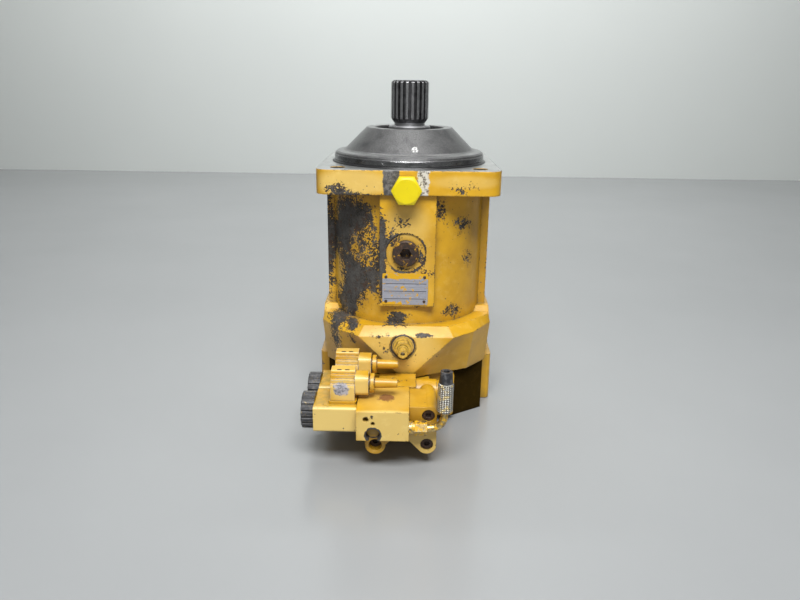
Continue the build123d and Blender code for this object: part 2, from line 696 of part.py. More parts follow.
def centre_pin():
    """Pin that centres the cylinder block on the shaft, with the spring that seats the block."""
    shoulder = z_block_low + 34.0
    with BuildPart() as part:
        with BuildSketch(Plane.XZ):
            outline([
                (0, z_ball), (5.5, z_ball), (5.5, z_block_top + 2), (PIN_BORE_D / 2 - RUN, z_block_top - 6),
                (PIN_BORE_D / 2 - RUN, shoulder), (4.0, shoulder), (4.0, shoulder - 14), (0, shoulder - 14),
            ])
        revolve(axis=Axis.Z)
        with Locations((0, 0, z_ball)):
            Sphere(PIN_BALL_D / 2)
    save(part, "centre_pin")
    discs = 10
    pitch = (shoulder - 0.1 - (z_block_low + SPRING_SEAT)) / discs
    with BuildPart() as spring:
        for n in range(discs):
            low = z_block_low + SPRING_SEAT + n * pitch
            tips = (low + pitch - 1.0, low) if n % 2 else (low, low + pitch - 1.0)
            inner, outer = tips
            with BuildSketch(Plane.XZ):
                outline([(4.3, inner), (PIN_BORE_D / 2 - 0.6, outer),
                              (PIN_BORE_D / 2 - 0.6, outer + 1.0), (4.3, inner + 1.0)])
            revolve(axis=Axis.Z)
    save(spring, "centre_spring")




def cylinder_block():
    with BuildPart() as part:
        with BuildSketch(Plane.XY.offset(z_block_low)):
            Circle(BLOCK_D / 2)
        extrude(amount=BLOCK_L)
        chamfer(part.edges().group_by(Axis.Z)[-1], 2.0)
        with BuildSketch(Plane.XY.offset(z_block_top)):
            with PolarLocations(piston_ring_r, PISTONS):
                Circle(PISTON_D / 2)
        extrude(amount=-BLOCK_L + 10, mode=Mode.SUBTRACT)
        with BuildSketch(Plane.XY.offset(z_block_low)):
            with PolarLocations(piston_ring_r, PISTONS):
                Circle(PISTON_D / 2 - 4.5)
        extrude(amount=12, mode=Mode.SUBTRACT)
        with BuildSketch(Plane.XY.offset(z_block_top)):
            Circle(PIN_BORE_D / 2)
        extrude(amount=-BLOCK_L + SPRING_SEAT, mode=Mode.SUBTRACT)
    save(part, "cylinder_block")


# ---- Control lens, port plate and stroking piston ------------------------------------------------
def cut_kidneys(z_from, depth):
    """Cut the two arc-shaped ports that feed the cylinders."""
    with BuildSketch(Plane.XY.offset(z_from)) as profile:
        for start in (-42, 138):
            SlotArc(CenterArc((0, 0), piston_ring_r, start, 84), PISTON_D / 2)
    extrude(profile.sketch, amount=-depth, mode=Mode.SUBTRACT)


def track_cylinder(radius, half_x, mode):
    """Cylinder across the shaft axis, centred on the piston balls, that the lens slides on."""
    with BuildSketch(at_x(-half_x, 0, z_ball)) as profile:
        Circle(radius)
    extrude(profile.sketch, amount=2 * half_x, mode=mode)


def control_lens():
    half_x = BLOCK_D / 2
    with BuildPart() as part:
        with BuildSketch(Plane.XY.offset(z_lens_top)):
            Circle(BLOCK_D / 2 - 2)
        extrude(amount=-LENS_T - 2)
        track_cylinder(track_radius - OIL_GAP, half_x + 4, Mode.INTERSECT)
        cut_kidneys(z_lens_top, LENS_T + 2)
        with BuildSketch(Plane.XY.offset(z_track - 2)):
            Circle(STROKE_PIN_D / 2 + SEAT)
        extrude(amount=15, mode=Mode.SUBTRACT)
    save(part, "control_lens")


def port_plate():
    with BuildPart() as part:
        with BuildSketch(Plane.XY.offset(z_base)):
            corner = PLATE_CORNER_X
            Polygon((-corner, -PLATE_FRONT), (corner, -PLATE_FRONT), (PLATE_X, -PLATE_FRONT + 24),
                     (PLATE_X, PLATE_BACK - 28), (corner, PLATE_BACK), (-corner, PLATE_BACK),
                     (-PLATE_X, PLATE_BACK - 28), (-PLATE_X, -PLATE_FRONT + 24), align=None)
        extrude(amount=PLATE_H)
        with BuildSketch(Plane.XY.offset(z_base)):
            with Locations((0, PORT_Y)):
                RectangleRounded(2 * CHEEK_X, CHEEK_W, 6)
        extrude(amount=PLATE_H - 3)
        track_cylinder(track_radius, BLOCK_D / 2 + 4, Mode.SUBTRACT)
        cut_kidneys(z_joint, z_joint - z_port)
        side_port(*PRESSURE_PORT)
        side_port(*SUCTION_PORT)
        stroking_bore()
        seal_groove()
        plate_bolt_holes()
        control_threads()
    save(part, "port_plate")


def side_port(side, bore, spacing_y, spacing_z, thread):
    """Work port on one side, its feed to the kidney and the four threads for a split flange."""
    plane = at_x(side * CHEEK_X, PORT_Y, z_port)
    with BuildSketch(plane) as profile:
        Circle(bore / 2)
    extrude(profile.sketch, amount=-side * PORT_DEPTH, mode=Mode.SUBTRACT)
    with BuildSketch(plane) as profile:
        Circle(PORT_FEED_D / 2)
    extrude(profile.sketch, amount=-side * (CHEEK_X - PORT_FEED_END), mode=Mode.SUBTRACT)
    with BuildSketch(plane) as profile:
        with GridLocations(spacing_y, spacing_z, 2, 2):
            Circle(thread / 2)
    extrude(profile.sketch, amount=-side * PORT_THREAD_L, mode=Mode.SUBTRACT)


def stroking_bore():
    """Bore across the plate for the stroking piston, and the slot that its pin moves in."""
    with BuildSketch(at_y(PLATE_BACK, z_stroke)) as profile:
        Circle(STROKE_BORE_D / 2)
    extrude(profile.sketch, amount=PLATE_BACK + STROKE_BLIND, mode=Mode.SUBTRACT)
    with BuildSketch(Plane.XY.offset(z_joint)) as profile:
        with Locations((0, 20)):
            SlotOverall(56, STROKE_PIN_D + 1, rotation=90)
    extrude(profile.sketch, amount=z_stroke - z_joint, mode=Mode.SUBTRACT)
    with BuildSketch(at_y(PLATE_BACK, z_stroke)) as profile:
        with Locations(*cover_screw_places()):
            Circle(CLAMP_SCREW_D / 2 + SEAT)
    extrude(profile.sketch, amount=CLAMP_SCREW_L, mode=Mode.SUBTRACT)




def cover_screw_places():
    return [(s * (COVER_W / 2 - 8), t * (COVER_H / 2 - 8)) for s in (-1, 1) for t in (-1, 1)]


def seal_groove():
    with BuildSketch(Plane.XY.offset(z_joint)) as profile:
        case_room(7.0)
        case_room(3.0, Mode.SUBTRACT)
    extrude(profile.sketch, amount=-2.6, mode=Mode.SUBTRACT)


def plate_bolt_holes():
    with BuildSketch(Plane.XY.offset(z_base)) as profile:
        with Locations(*plate_bolt_places()):
            Circle(PLATE_BOLT_D / 2 + 0.5)
    extrude(profile.sketch, amount=PLATE_H, mode=Mode.SUBTRACT)
    with BuildSketch(Plane.XY.offset(z_base)) as profile:
        with Locations(*plate_bolt_places()):
            Circle(PLATE_BOLT_D * 0.75 + 1)
    extrude(profile.sketch, amount=PLATE_BOLT_D + 2, mode=Mode.SUBTRACT)


def plate_parts():
    with BuildPart() as seal:
        with BuildSketch(Plane.XY.offset(z_joint)):
            case_room(6.9)
            case_room(3.1, Mode.SUBTRACT)
        extrude(amount=-2.5)
    save(seal, "port_plate_seal")
    head_top = z_base + PLATE_BOLT_D + 2
    with BuildPart() as bolts:
        with BuildSketch(Plane.XY.offset(head_top)):
            with Locations(*plate_bolt_places()):
                Circle(PLATE_BOLT_D / 2)
        extrude(amount=z_joint - head_top + PLATE_BOLT_GRIP)
        with BuildSketch(Plane.XY.offset(head_top - PLATE_BOLT_D)):
            with Locations(*plate_bolt_places()):
                Circle(PLATE_BOLT_D * 0.75)
        extrude(amount=PLATE_BOLT_D)
        with BuildSketch(Plane.XY.offset(head_top - PLATE_BOLT_D)):
            with Locations(*plate_bolt_places()):
                RegularPolygon(hex_radius(10.0), 6)
        extrude(amount=6, mode=Mode.SUBTRACT)
    save(bolts, "port_plate_bolts")


def stroking_parts():
    """Stroking piston, the pin that moves the lens, and the cover on the end of the bore."""
    half = 26.0
    with BuildPart() as part:
        with BuildSketch(at_y(half, z_stroke)):
            Circle(STROKE_BORE_D / 2 - SEAT)
        extrude(amount=2 * half)
        chamfer(part.edges().filter_by(GeomType.CIRCLE), 1.0)
        with BuildSketch(Plane.XY.offset(z_stroke - 5)):
            Circle(STROKE_PIN_D / 2 + SEAT)
        extrude(amount=30, mode=Mode.SUBTRACT)
    save(part, "stroking_piston")
    with BuildPart() as pin:
        with BuildSketch(Plane.XY.offset(z_stroke - 5)):
            Circle(STROKE_PIN_D / 2)
        extrude(amount=z_track + 11 - z_stroke + 5)
    save(pin, "stroking_pin")
    with BuildPart() as cover:
        with BuildSketch(at_y(PLATE_BACK, z_stroke)):
            RectangleRounded(COVER_W, COVER_H, 7)
        extrude(amount=-COVER_T)
        with BuildSketch(at_y(PLATE_BACK, z_stroke)):
            Circle(STROKE_BORE_D / 2 - SEAT)
        extrude(amount=9)
        with BuildSketch(at_y(PLATE_BACK, z_stroke)):
            with Locations(*cover_screw_places()):
                Circle(CLAMP_SCREW_D / 2 + 0.5)
        extrude(amount=-COVER_T, mode=Mode.SUBTRACT)
        with BuildSketch(at_y(PLATE_BACK + COVER_T, z_stroke)):
            Circle(9.0)
        extrude(amount=-6)
        with BuildSketch(at_y(PLATE_BACK + COVER_T + 6, z_stroke)):
            Circle(5.0)
        extrude(amount=-8)
    save(cover, "stroking_cover")


# ---- Control body, pilot block and their screws --------------------------------------------------


def control_threads():
    with BuildSketch(at_y(-PLATE_FRONT)) as profile:
        with Locations(*[(s * FOOT_SCREW_X, z) for s in (-1, 1) for z in z_foot_screws]):
            Circle(CLAMP_SCREW_D / 2 + SEAT)
    extrude(profile.sketch, amount=-CLAMP_SCREW_L, mode=Mode.SUBTRACT)


def control_body():
    """Casting that carries the control spool, bolted to the front of the port plate."""
    low = control_low - 12.0
    under_case = z_joint - CASE_GAP
    step_y = -CASE_FRONT - 2 - CASE_GAP
    with BuildPart() as part:
        with BuildSketch(at_y(-PLATE_FRONT)):
            with Locations((0, (under_case + z_base + 6) / 2)):
                RectangleRounded(2 * FOOT_SCREW_X + 22, under_case - z_base - 6, 5)
        extrude(amount=BODY_FOOT_T)
        with BuildSketch(at_y(-PLATE_FRONT)):
            Polygon((BODY_LEFT, low), (BODY_RIGHT, low), (BODY_RIGHT, under_case), (BODY_LEFT, under_case),
                    align=None)
        extrude(amount=-PLATE_FRONT - BODY_Y)
        with BuildSketch(at_y(step_y)):
            Polygon((CONTROL_FACE_X, control_low), (END_BOSS_X - 24, control_low),
                    (END_BOSS_X - 24, control_top), (CONTROL_FACE_X + 20, control_top),
                    (CONTROL_FACE_X + 20, control_top - 3), (CONTROL_FACE_X, control_top - 3), align=None)
        extrude(amount=step_y - BODY_Y)
        with BuildSketch(at_y(BODY_Y + BLOCK_SCREW_GRIP + 2)):
            for x, z in block_screw_places:
                with Locations((x, z)):
                    Circle(LUG_R - 2)
            with Locations(((block_screw_places[0][0] + block_screw_places[2][0]) / 2, low + 10)):
                Rectangle(block_screw_places[0][0] - block_screw_places[2][0], 30)
        extrude(amount=BLOCK_SCREW_GRIP + 2)
        with BuildSketch(at_x(END_BOSS_X - 25, rear_axis_y, z_control)):
            Circle(END_BOSS_D / 2)
        extrude(amount=25)
        with BuildSketch(at_x(CONTROL_FACE_X, rear_axis_y, z_control)):
            Circle(SPOOL_D / 2)
        extrude(amount=END_BOSS_X - CONTROL_FACE_X, mode=Mode.SUBTRACT)
        with BuildSketch(at_x(CONTROL_FACE_X, rear_axis_y, z_control)):
            Circle(CORE_NOSE_D / 2 + SEAT)
        extrude(amount=CORE_NOSE_L + FREE, mode=Mode.SUBTRACT)
        with BuildSketch(at_x(END_BOSS_X, rear_axis_y, z_control)):
            Circle(END_PLUG_D / 2 + SEAT)
        extrude(amount=-END_PLUG_L, mode=Mode.SUBTRACT)
        with BuildSketch(at_y(-PLATE_FRONT)):
            with Locations(*[(s * FOOT_SCREW_X, z) for s in (-1, 1) for z in z_foot_screws]):
                Circle(CLAMP_SCREW_D / 2 + 0.5)
        extrude(amount=BODY_FOOT_T, mode=Mode.SUBTRACT)
        with BuildSketch(at_y(BODY_Y)):
            with Locations(*block_screw_places):
                Circle(BLOCK_SCREW_D / 2 + SEAT)
        extrude(amount=-BLOCK_SCREW_GRIP - 1, mode=Mode.SUBTRACT)
    save(part, "control_body")


def clamp_screws():
    """Socket screws of the control body's foot and of the stroking bore's cover."""
    with BuildPart() as part:
        foot = [(s * FOOT_SCREW_X, z) for s in (-1, 1) for z in z_foot_screws]
        rear = [(x, z_stroke + z) for x, z in cover_screw_places()]
        sets = (
            (foot, at_y(-PLATE_FRONT - BODY_FOOT_T), 1, BODY_FOOT_T),
            (rear, at_y(PLATE_BACK + COVER_T), -1, COVER_T),
        )
        for places, plane, out, grip in sets:
            with BuildSketch(plane):
                with Locations(*places):
                    Circle(CLAMP_SCREW_D / 2)
            extrude(amount=-out * (grip + CLAMP_SCREW_L - 2))
            with BuildSketch(plane):
                with Locations(*places):
                    Circle(CLAMP_SCREW_D * 0.81)
            extrude(amount=out * CLAMP_SCREW_D)
            with BuildSketch(plane.offset(out * CLAMP_SCREW_D)):
                with Locations(*places):
                    RegularPolygon(hex_radius(6.0), 6)
            extrude(amount=-out * 4.0, mode=Mode.SUBTRACT)
    save(part, "clamp_screws")




def spool(name, axis_y):
    """Valve spool with two lands and a waist; its left end meets the armature's push rod."""
    with BuildPart() as part:
        for start, length, radius in ((0, 10, 0), (10, 12, 2.5), (22, 10, 0)):
            with BuildSketch(at_x(spool_start + start, axis_y, z_control)):
                Circle(SPOOL_D / 2 - RUN - radius)
            extrude(amount=length)
        with BuildSketch(at_x(spool_start + SPOOL_L, axis_y, z_control)):
            Circle(PUSH_ROD_D / 2)
        extrude(amount=4)
    save(part, name)


def control_spring_and_plug():
    start = spool_start + SPOOL_L + 0.1
    end = END_BOSS_X - END_PLUG_L - 0.1
    wire = 0.9
    turns = 7
    with BuildPart() as part:
        with BuildLine():
            coil = Helix(
                pitch=(end - start - 2 * wire) / turns, height=end - start - 2 * wire,
                radius=SPOOL_D / 2 - wire - 0.5, center=(start + wire, rear_axis_y, z_control),
                direction=(1, 0, 0),
            )
        with BuildSketch(Plane(origin=coil @ 0, z_dir=coil % 0)):
            Circle(wire)
        sweep(path=coil, is_frenet=True)
    save(part, "control_spring")
    with BuildPart() as plug:
        with BuildSketch(at_x(END_BOSS_X - END_PLUG_L, rear_axis_y, z_control)):
            Circle(END_PLUG_D / 2)
        extrude(amount=END_PLUG_L)
        with BuildSketch(at_x(END_BOSS_X, rear_axis_y, z_control)):
            Circle(END_BOSS_D / 2 - 1.5)
        extrude(amount=3)
        with BuildSketch(at_x(END_BOSS_X + 3, rear_axis_y, z_control)):
            RegularPolygon(hex_radius(10.0), 6)
        extrude(amount=-7, mode=Mode.SUBTRACT)
    save(plug, "control_end_plug")


def pilot_block():
    """Front valve block with a wing and two lugs for its long screws."""
    rear = BODY_Y - FREE
    with BuildPart() as part:
        with BuildSketch(at_y(rear)):
            Polygon((CONTROL_FACE_X, control_low), (BLOCK_RIGHT, control_low),
                     (BLOCK_RIGHT, control_top), (CONTROL_FACE_X, control_top), align=None)
        extrude(amount=rear - BLOCK_FRONT)
        with BuildSketch(at_y(rear)):
            wing_outline()
        extrude(amount=rear - WING_FRONT)
        with BuildSketch(at_y(rear)):
            left_lug_outline()
        extrude(amount=rear - WING_FRONT + 6)
        with BuildSketch(at_x(CONTROL_FACE_X, front_axis_y, z_control)):
            Circle(SPOOL_D / 2)
        extrude(amount=SPOOL_L + CORE_NOSE_L + 12, mode=Mode.SUBTRACT)
        with BuildSketch(at_x(CONTROL_FACE_X, front_axis_y, z_control)):
            Circle(CORE_NOSE_D / 2 + SEAT)
        extrude(amount=CORE_NOSE_L + FREE, mode=Mode.SUBTRACT)
        with BuildSketch(at_y(rear)):
            with Locations(*block_screw_places):
                Circle(BLOCK_SCREW_D / 2 + 0.5)
        extrude(amount=-BLOCK_FRONT, mode=Mode.SUBTRACT)
        with BuildSketch(at_y(WING_FRONT + 8)):
            with Locations(*block_screw_places):
                Circle(BLOCK_SCREW_D * 0.81 + 0.4)
        extrude(amount=30, mode=Mode.SUBTRACT)
        with BuildSketch(at_y(BLOCK_FRONT)):
            for x, up, radius in (GAUGE_PORT, LOCK_SCREW, PLUGGED_PORT):
                with Locations((x, z_control + up)):
                    Circle(radius)
        extrude(amount=-9, mode=Mode.SUBTRACT)
        with BuildSketch(at_x(BLOCK_RIGHT, PIPE_Y, z_pipe)):
            Circle(PIPE_THREAD_D / 2 + SEAT)
        extrude(amount=-11, mode=Mode.SUBTRACT)
    save(part, "pilot_block")


def wing_outline():
    """Right-hand wing: rounded over its upper screw, slanting to a rounded lug below."""
    (ux, uz), (lx, lz) = block_screw_places[0], block_screw_places[1]
    with BuildLine() as edge:
        Polyline((BLOCK_RIGHT - 8, control_low), (lx - LUG_R * 0.75, lz - LUG_R * 0.66))
        ThreePointArc((lx - LUG_R * 0.75, lz - LUG_R * 0.66), (lx + LUG_R * 0.3, lz - LUG_R * 0.954),
                      (WING_RIGHT, lz))
        Polyline((WING_RIGHT, lz), (WING_RIGHT, uz))
        ThreePointArc((WING_RIGHT, uz), (ux + 6.0, uz + 9.2), (ux - 2.0, uz + LUG_R * 0.9))
        Polyline((ux - 2.0, uz + LUG_R * 0.9), (BLOCK_RIGHT - 8, uz + LUG_R * 0.9),
                 (BLOCK_RIGHT - 8, control_low))
    make_face(edge.edges())


def left_lug_outline():
    x, z = block_screw_places[2]
    with BuildLine() as edge:
        Polyline((x + LUG_R, z), (x + 1.9 * LUG_R, control_low + 1), (x - LUG_R, control_low + 1),
                 (x - LUG_R, z))
        ThreePointArc((x - LUG_R, z), (x, z - LUG_R), (x + LUG_R, z))
    make_face(edge.edges())


def pilot_block_screws():
    seat = WING_FRONT + 8
    with BuildPart() as part:
        with BuildSketch(at_y(seat)):
            with Locations(*block_screw_places):
                Circle(BLOCK_SCREW_D / 2)
        extrude(amount=-(BODY_Y - seat) - BLOCK_SCREW_GRIP)
        with BuildSketch(at_y(seat)):
            with Locations(*block_screw_places):
                Circle(BLOCK_SCREW_D * 0.81)
        extrude(amount=6)
        with BuildSketch(at_y(seat - 6)):
            with Locations(*block_screw_places):
                RegularPolygon(hex_radius(6.0), 6)
        extrude(amount=-4, mode=Mode.SUBTRACT)
    save(part, "pilot_block_screws")


# ---- Solenoids ------------------------------------------------------------------------------------


def solenoid(side, axis_y):
    """Square coil on its core tube, the finned nut, the armature with its pin, and the cable plug."""
    face = CONTROL_FACE_X - FREE
    coil_end = face - COIL_L
    with BuildPart() as coil:
        with BuildSketch(at_x(coil_end, axis_y, z_control)):
            RectangleRounded(COIL_SIZE - 1, COIL_H, 2.5)
            Circle(CORE_D / 2 + SEAT, mode=Mode.SUBTRACT)
        extrude(amount=COIL_L)
        with BuildSketch(Plane.XY.offset(coil_top)):
            with Locations((PLUG_X, axis_y)):
                RectangleRounded(PLUG_W + 4, PLUG_W + 4, 3)
        extrude(amount=3)
    save(coil, f"coil_{side}")
    core_tube(side, axis_y, coil_end)
    cap_nut(side, axis_y, coil_end)
    armature(side, axis_y, coil_end)
    cable_plug(side, axis_y)


def core_tube(side, axis_y, coil_end):
    room_end = CONTROL_FACE_X - 12.0
    with BuildPart() as part:
        with BuildSketch(at_x(coil_end - 4, axis_y, z_control)):
            Circle(CORE_D / 2)
        extrude(amount=CONTROL_FACE_X - coil_end + 4)
        with BuildSketch(at_x(CONTROL_FACE_X, axis_y, z_control)):
            Circle(CORE_NOSE_D / 2)
        extrude(amount=CORE_NOSE_L)
        with BuildSketch(at_x(coil_end, axis_y, z_control)):
            Circle(ARMATURE_D / 2 + RUN)
        extrude(amount=room_end - coil_end, mode=Mode.SUBTRACT)
        with BuildSketch(at_x(coil_end - 4, axis_y, z_control)):
            Circle(OVERRIDE_D / 2 + RUN)
        extrude(amount=6, mode=Mode.SUBTRACT)
        with BuildSketch(at_x(room_end - 1, axis_y, z_control)):
            Circle(PUSH_ROD_D / 2 + RUN)
        extrude(amount=CONTROL_FACE_X + CORE_NOSE_L + 2 - room_end, mode=Mode.SUBTRACT)
    save(part, f"core_{side}")


def cap_nut(side, axis_y, coil_end):
    """Finned plastic nut that holds the coil on its core."""
    with BuildPart() as part:
        with BuildSketch(at_x(coil_end, axis_y, z_control)):
            Circle(CAP_NUT_D / 2)
            with PolarLocations(CAP_NUT_D / 2 + 0.4, CAP_NUT_FINS):
                Circle(1.7, mode=Mode.SUBTRACT)
        extrude(amount=-CAP_NUT_L)
        chamfer(part.faces().sort_by(Axis.X)[0].edges(), 1.0)
        with BuildSketch(at_x(coil_end - CAP_NUT_L, axis_y, z_control)):
            Circle(CAP_NUT_D / 2 - 5)
        extrude(amount=2, mode=Mode.SUBTRACT)
        with BuildSketch(at_x(coil_end, axis_y, z_control)):
            Circle(CORE_D / 2 + SEAT)
        extrude(amount=-4 - FREE, mode=Mode.SUBTRACT)
        with BuildSketch(at_x(coil_end, axis_y, z_control)):
            Circle(OVERRIDE_D / 2 + 1)
        extrude(amount=-CAP_NUT_L, mode=Mode.SUBTRACT)
    save(part, f"cap_nut_{side}")


def armature(side, axis_y, coil_end):
    """Magnet armature with the manual override pin at one end and the push rod at the other."""
    pin_start = coil_end - CAP_NUT_L - 1.0
    rod_end = spool_start - 0.1
    body_start = coil_end + 0.5
    body_end = CONTROL_FACE_X - 12.0 - OVERRIDE_TRAVEL - 1.0
    with BuildPart() as part:
        with BuildSketch(at_x(pin_start, axis_y, z_control)):
            Circle(OVERRIDE_D / 2)
        extrude(amount=body_start - pin_start)
        with BuildSketch(at_x(body_start, axis_y, z_control)):
            Circle(ARMATURE_D / 2)
        extrude(amount=body_end - body_start)
        with BuildSketch(at_x(body_end, axis_y, z_control)):
            Circle(PUSH_ROD_D / 2)
        extrude(amount=rod_end - body_end)
    save(part, f"armature_{side}")


def cable_plug(side, axis_y):
    """Angled cable plug on top of the coil, with its nose towards the block."""
    low = coil_top + 3.0
    right = PLUG_X + PLUG_W / 2
    with BuildPart() as part:
        with BuildSketch(at_x(PLUG_X - PLUG_W / 2, axis_y, low)):
            half = PLUG_W / 2
            Polygon((-half, 0), (half, 0), (half, PLUG_H), (-half + 12, PLUG_H),
                    (-half + 12, PLUG_H - 4), (-half + 8, PLUG_H - 4), (-half + 8, PLUG_H - 8),
                    (-half + 4, PLUG_H - 8), (-half + 4, PLUG_H - 12), (-half + 1, PLUG_H - 12),
                    (-half, PLUG_H - 15), align=None)
        extrude(amount=PLUG_W)
        fillet(part.edges().filter_by(Axis.X).group_by(Axis.Z)[-1], 2.0)
        with BuildSketch(at_x(right, axis_y, plug_nose_z)):
            RectangleRounded(22, 23, 6)
        extrude(amount=PLUG_NOSE_L - 1.5)
        with BuildSketch(at_x(right + PLUG_NOSE_L - 1.5, axis_y, plug_nose_z)):
            Circle(7.0)
        extrude(amount=1.5)
    save(part, f"cable_plug_{side}")


def plug_boots():
    """Nut ring and tapered boot behind each cable plug."""
    start = PLUG_X + PLUG_W / 2 + PLUG_NOSE_L
    with BuildPart() as part:
        for axis_y in (front_axis_y, rear_axis_y):
            with BuildSketch(at_x(start, axis_y, plug_nose_z)):
                Circle(10.5)
            extrude(amount=4.5)
            with BuildSketch(at_x(start + 4.5, axis_y, plug_nose_z)):
                Circle(5.6)
            with BuildSketch(at_x(start + 4.5 + BOOT_L, axis_y, plug_nose_z)):
                Circle(4.6)
            loft()
            with BuildSketch(at_x(start + 4.5 + BOOT_L, axis_y, plug_nose_z)):
                Circle(2.6)
            extrude(amount=-8, mode=Mode.SUBTRACT)
    save(part, "plug_boots")


# ---- Pilot pipe -----------------------------------------------------------------------------------


def pipe_parts():
    """Union, bent pipe, braided sleeve and open black end cap at the block's right side."""
    with BuildPart() as union:
        with BuildSketch(at_x(BLOCK_RIGHT, PIPE_Y, z_pipe)):
            Circle(PIPE_THREAD_D / 2)
        extrude(amount=-9)
        with BuildSketch(at_x(BLOCK_RIGHT, PIPE_Y, z_pipe)):
            Circle(7.4)
        extrude(amount=4)
        with BuildSketch(at_x(BLOCK_RIGHT + 4, PIPE_Y, z_pipe)):
            Circle(6.0)
        extrude(amount=2)
        with BuildSketch(at_x(BLOCK_RIGHT + 6, PIPE_Y, z_pipe)):
            RegularPolygon(hex_radius(14.0), 6)
        extrude(amount=13)
        with BuildSketch(at_x(BLOCK_RIGHT + 19, PIPE_Y, z_pipe)):
            Circle(PIPE_D / 2 + SEAT)
        extrude(amount=-12, mode=Mode.SUBTRACT)
    save(union, "pipe_union")
    start = BLOCK_RIGHT + 7.5
    with BuildPart() as pipe:
        with BuildLine() as route:
            FilletPolyline((start, PIPE_Y, z_pipe), (PIPE_RUN_X, PIPE_Y, z_pipe),
                           (PIPE_RUN_X + 1.0, PIPE_Y + 2.0, z_pipe_top - 8), radius=PIPE_BEND_R)
        with BuildSketch(at_x(start, PIPE_Y, z_pipe)):
            Circle(PIPE_D / 2)
            Circle(PIPE_BORE_D / 2, mode=Mode.SUBTRACT)
        sweep(path=route.line)
    save(pipe, "pilot_pipe")
    lean = Plane(origin=(PIPE_RUN_X + 1.0, PIPE_Y + 2.0, z_pipe_top - 8), x_dir=(1, 0, 0),
                 z_dir=(1.0, 2.0, z_pipe_top - 8 - z_pipe))
    sleeve_top = z_sleeve_top - (z_pipe_top - 8)
    with BuildPart() as sleeve:
        with BuildSketch(lean.offset(sleeve_top)):
            Circle(SLEEVE_D / 2)
            Circle(PIPE_D / 2 + SEAT, mode=Mode.SUBTRACT)
        extrude(amount=-(z_sleeve_top - sleeve_low - PIPE_BEND_R / 2))
        chamfer(part_outer_edges(sleeve), 1.2)
    save(sleeve, "pipe_sleeve")
    with BuildPart() as cap:
        with BuildSketch(lean.offset(sleeve_top + 0.2)):
            Circle(PIPE_CAP_D / 2 + 0.9)
        with BuildSketch(lean.offset(8)):
            Circle(PIPE_CAP_D / 2)
        loft()
        with BuildSketch(lean.offset(sleeve_top + 0.2)):
            Circle(PIPE_D / 2 + SEAT)
        extrude(amount=-sleeve_top - 0.2, mode=Mode.SUBTRACT)
        with BuildSketch(lean.offset(8)):
            Circle(3.4)
        extrude(amount=-9, mode=Mode.SUBTRACT)
    save(cap, "pipe_cap")


def part_outer_edges(builder):
    """Outer circular edges at both ends of a round sleeve."""
    circles = builder.edges().filter_by(GeomType.CIRCLE)
    widest = max(edge.radius for edge in circles)
    return [edge for edge in circles if edge.radius > widest - 0.01]


# ---- Build everything ------------------------------------------------------------------------------
housing()
pilot_o_ring()
seal_parts()
transport_cap()
pad_plug()
nameplate()
test_nipple()
bearing("front_bearing", FRONT_BEARING_Z, FRONT_BEARING_W, FRONT_JOURNAL_D / 2, FRONT_BORE_D / 2, 1)
bearing("rear_bearing", z_rear_bearing_top, REAR_BEARING_W, REAR_JOURNAL_D / 2, REAR_BORE_D / 2, -1)
drive_shaft()
retaining_plate()
for number in range(PISTONS):
    piston(number)
centre_pin()
cylinder_block()
control_lens()
port_plate()
plate_parts()
stroking_parts()
control_body()
clamp_screws()
spool("control_spool", rear_axis_y)
spool("pilot_spool", front_axis_y)
control_spring_and_plug()
pilot_block()
pilot_block_screws()
solenoid("front", front_axis_y)
solenoid("rear", rear_axis_y)
plug_boots()
pipe_parts()
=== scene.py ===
"""Looks of the bent-axis axial piston unit: materials, fine pieces, floor, light and camera.

Everything is in metres in the part's own frame: the pilot's centre is the origin, +Z runs out along the
shaft and -Y is the control side.
"""

import math

import bpy
from mathutils import Matrix, Vector


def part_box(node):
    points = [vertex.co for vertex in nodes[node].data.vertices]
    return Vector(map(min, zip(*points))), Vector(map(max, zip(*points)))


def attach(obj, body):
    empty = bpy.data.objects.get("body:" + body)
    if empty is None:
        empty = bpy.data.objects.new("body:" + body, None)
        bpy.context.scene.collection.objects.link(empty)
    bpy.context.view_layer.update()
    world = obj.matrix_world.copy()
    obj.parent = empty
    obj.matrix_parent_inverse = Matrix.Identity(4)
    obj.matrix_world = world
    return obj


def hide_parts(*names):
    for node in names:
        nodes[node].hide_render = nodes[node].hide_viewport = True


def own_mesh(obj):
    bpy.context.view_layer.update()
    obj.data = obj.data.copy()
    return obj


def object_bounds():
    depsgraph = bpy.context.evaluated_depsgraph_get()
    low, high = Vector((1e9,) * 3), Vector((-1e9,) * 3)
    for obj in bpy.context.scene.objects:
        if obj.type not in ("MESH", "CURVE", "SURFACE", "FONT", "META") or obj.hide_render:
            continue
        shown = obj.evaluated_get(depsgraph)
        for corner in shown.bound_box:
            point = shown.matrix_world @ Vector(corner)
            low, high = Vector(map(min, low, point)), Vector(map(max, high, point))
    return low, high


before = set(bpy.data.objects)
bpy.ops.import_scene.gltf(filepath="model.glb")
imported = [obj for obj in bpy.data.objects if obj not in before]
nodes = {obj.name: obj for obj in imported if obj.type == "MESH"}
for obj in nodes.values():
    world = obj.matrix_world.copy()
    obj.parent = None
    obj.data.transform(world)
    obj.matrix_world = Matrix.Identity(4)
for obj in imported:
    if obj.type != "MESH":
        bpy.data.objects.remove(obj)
cad_low, cad_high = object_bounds()
MM = 0.001
BOLT_OFFSET = 0.112 / math.sqrt(2)
PAST_PAD_Y = -0.0990  # between the pad's face and the flange's, which stands further out
FLANGE_LOW_Z = -0.0275


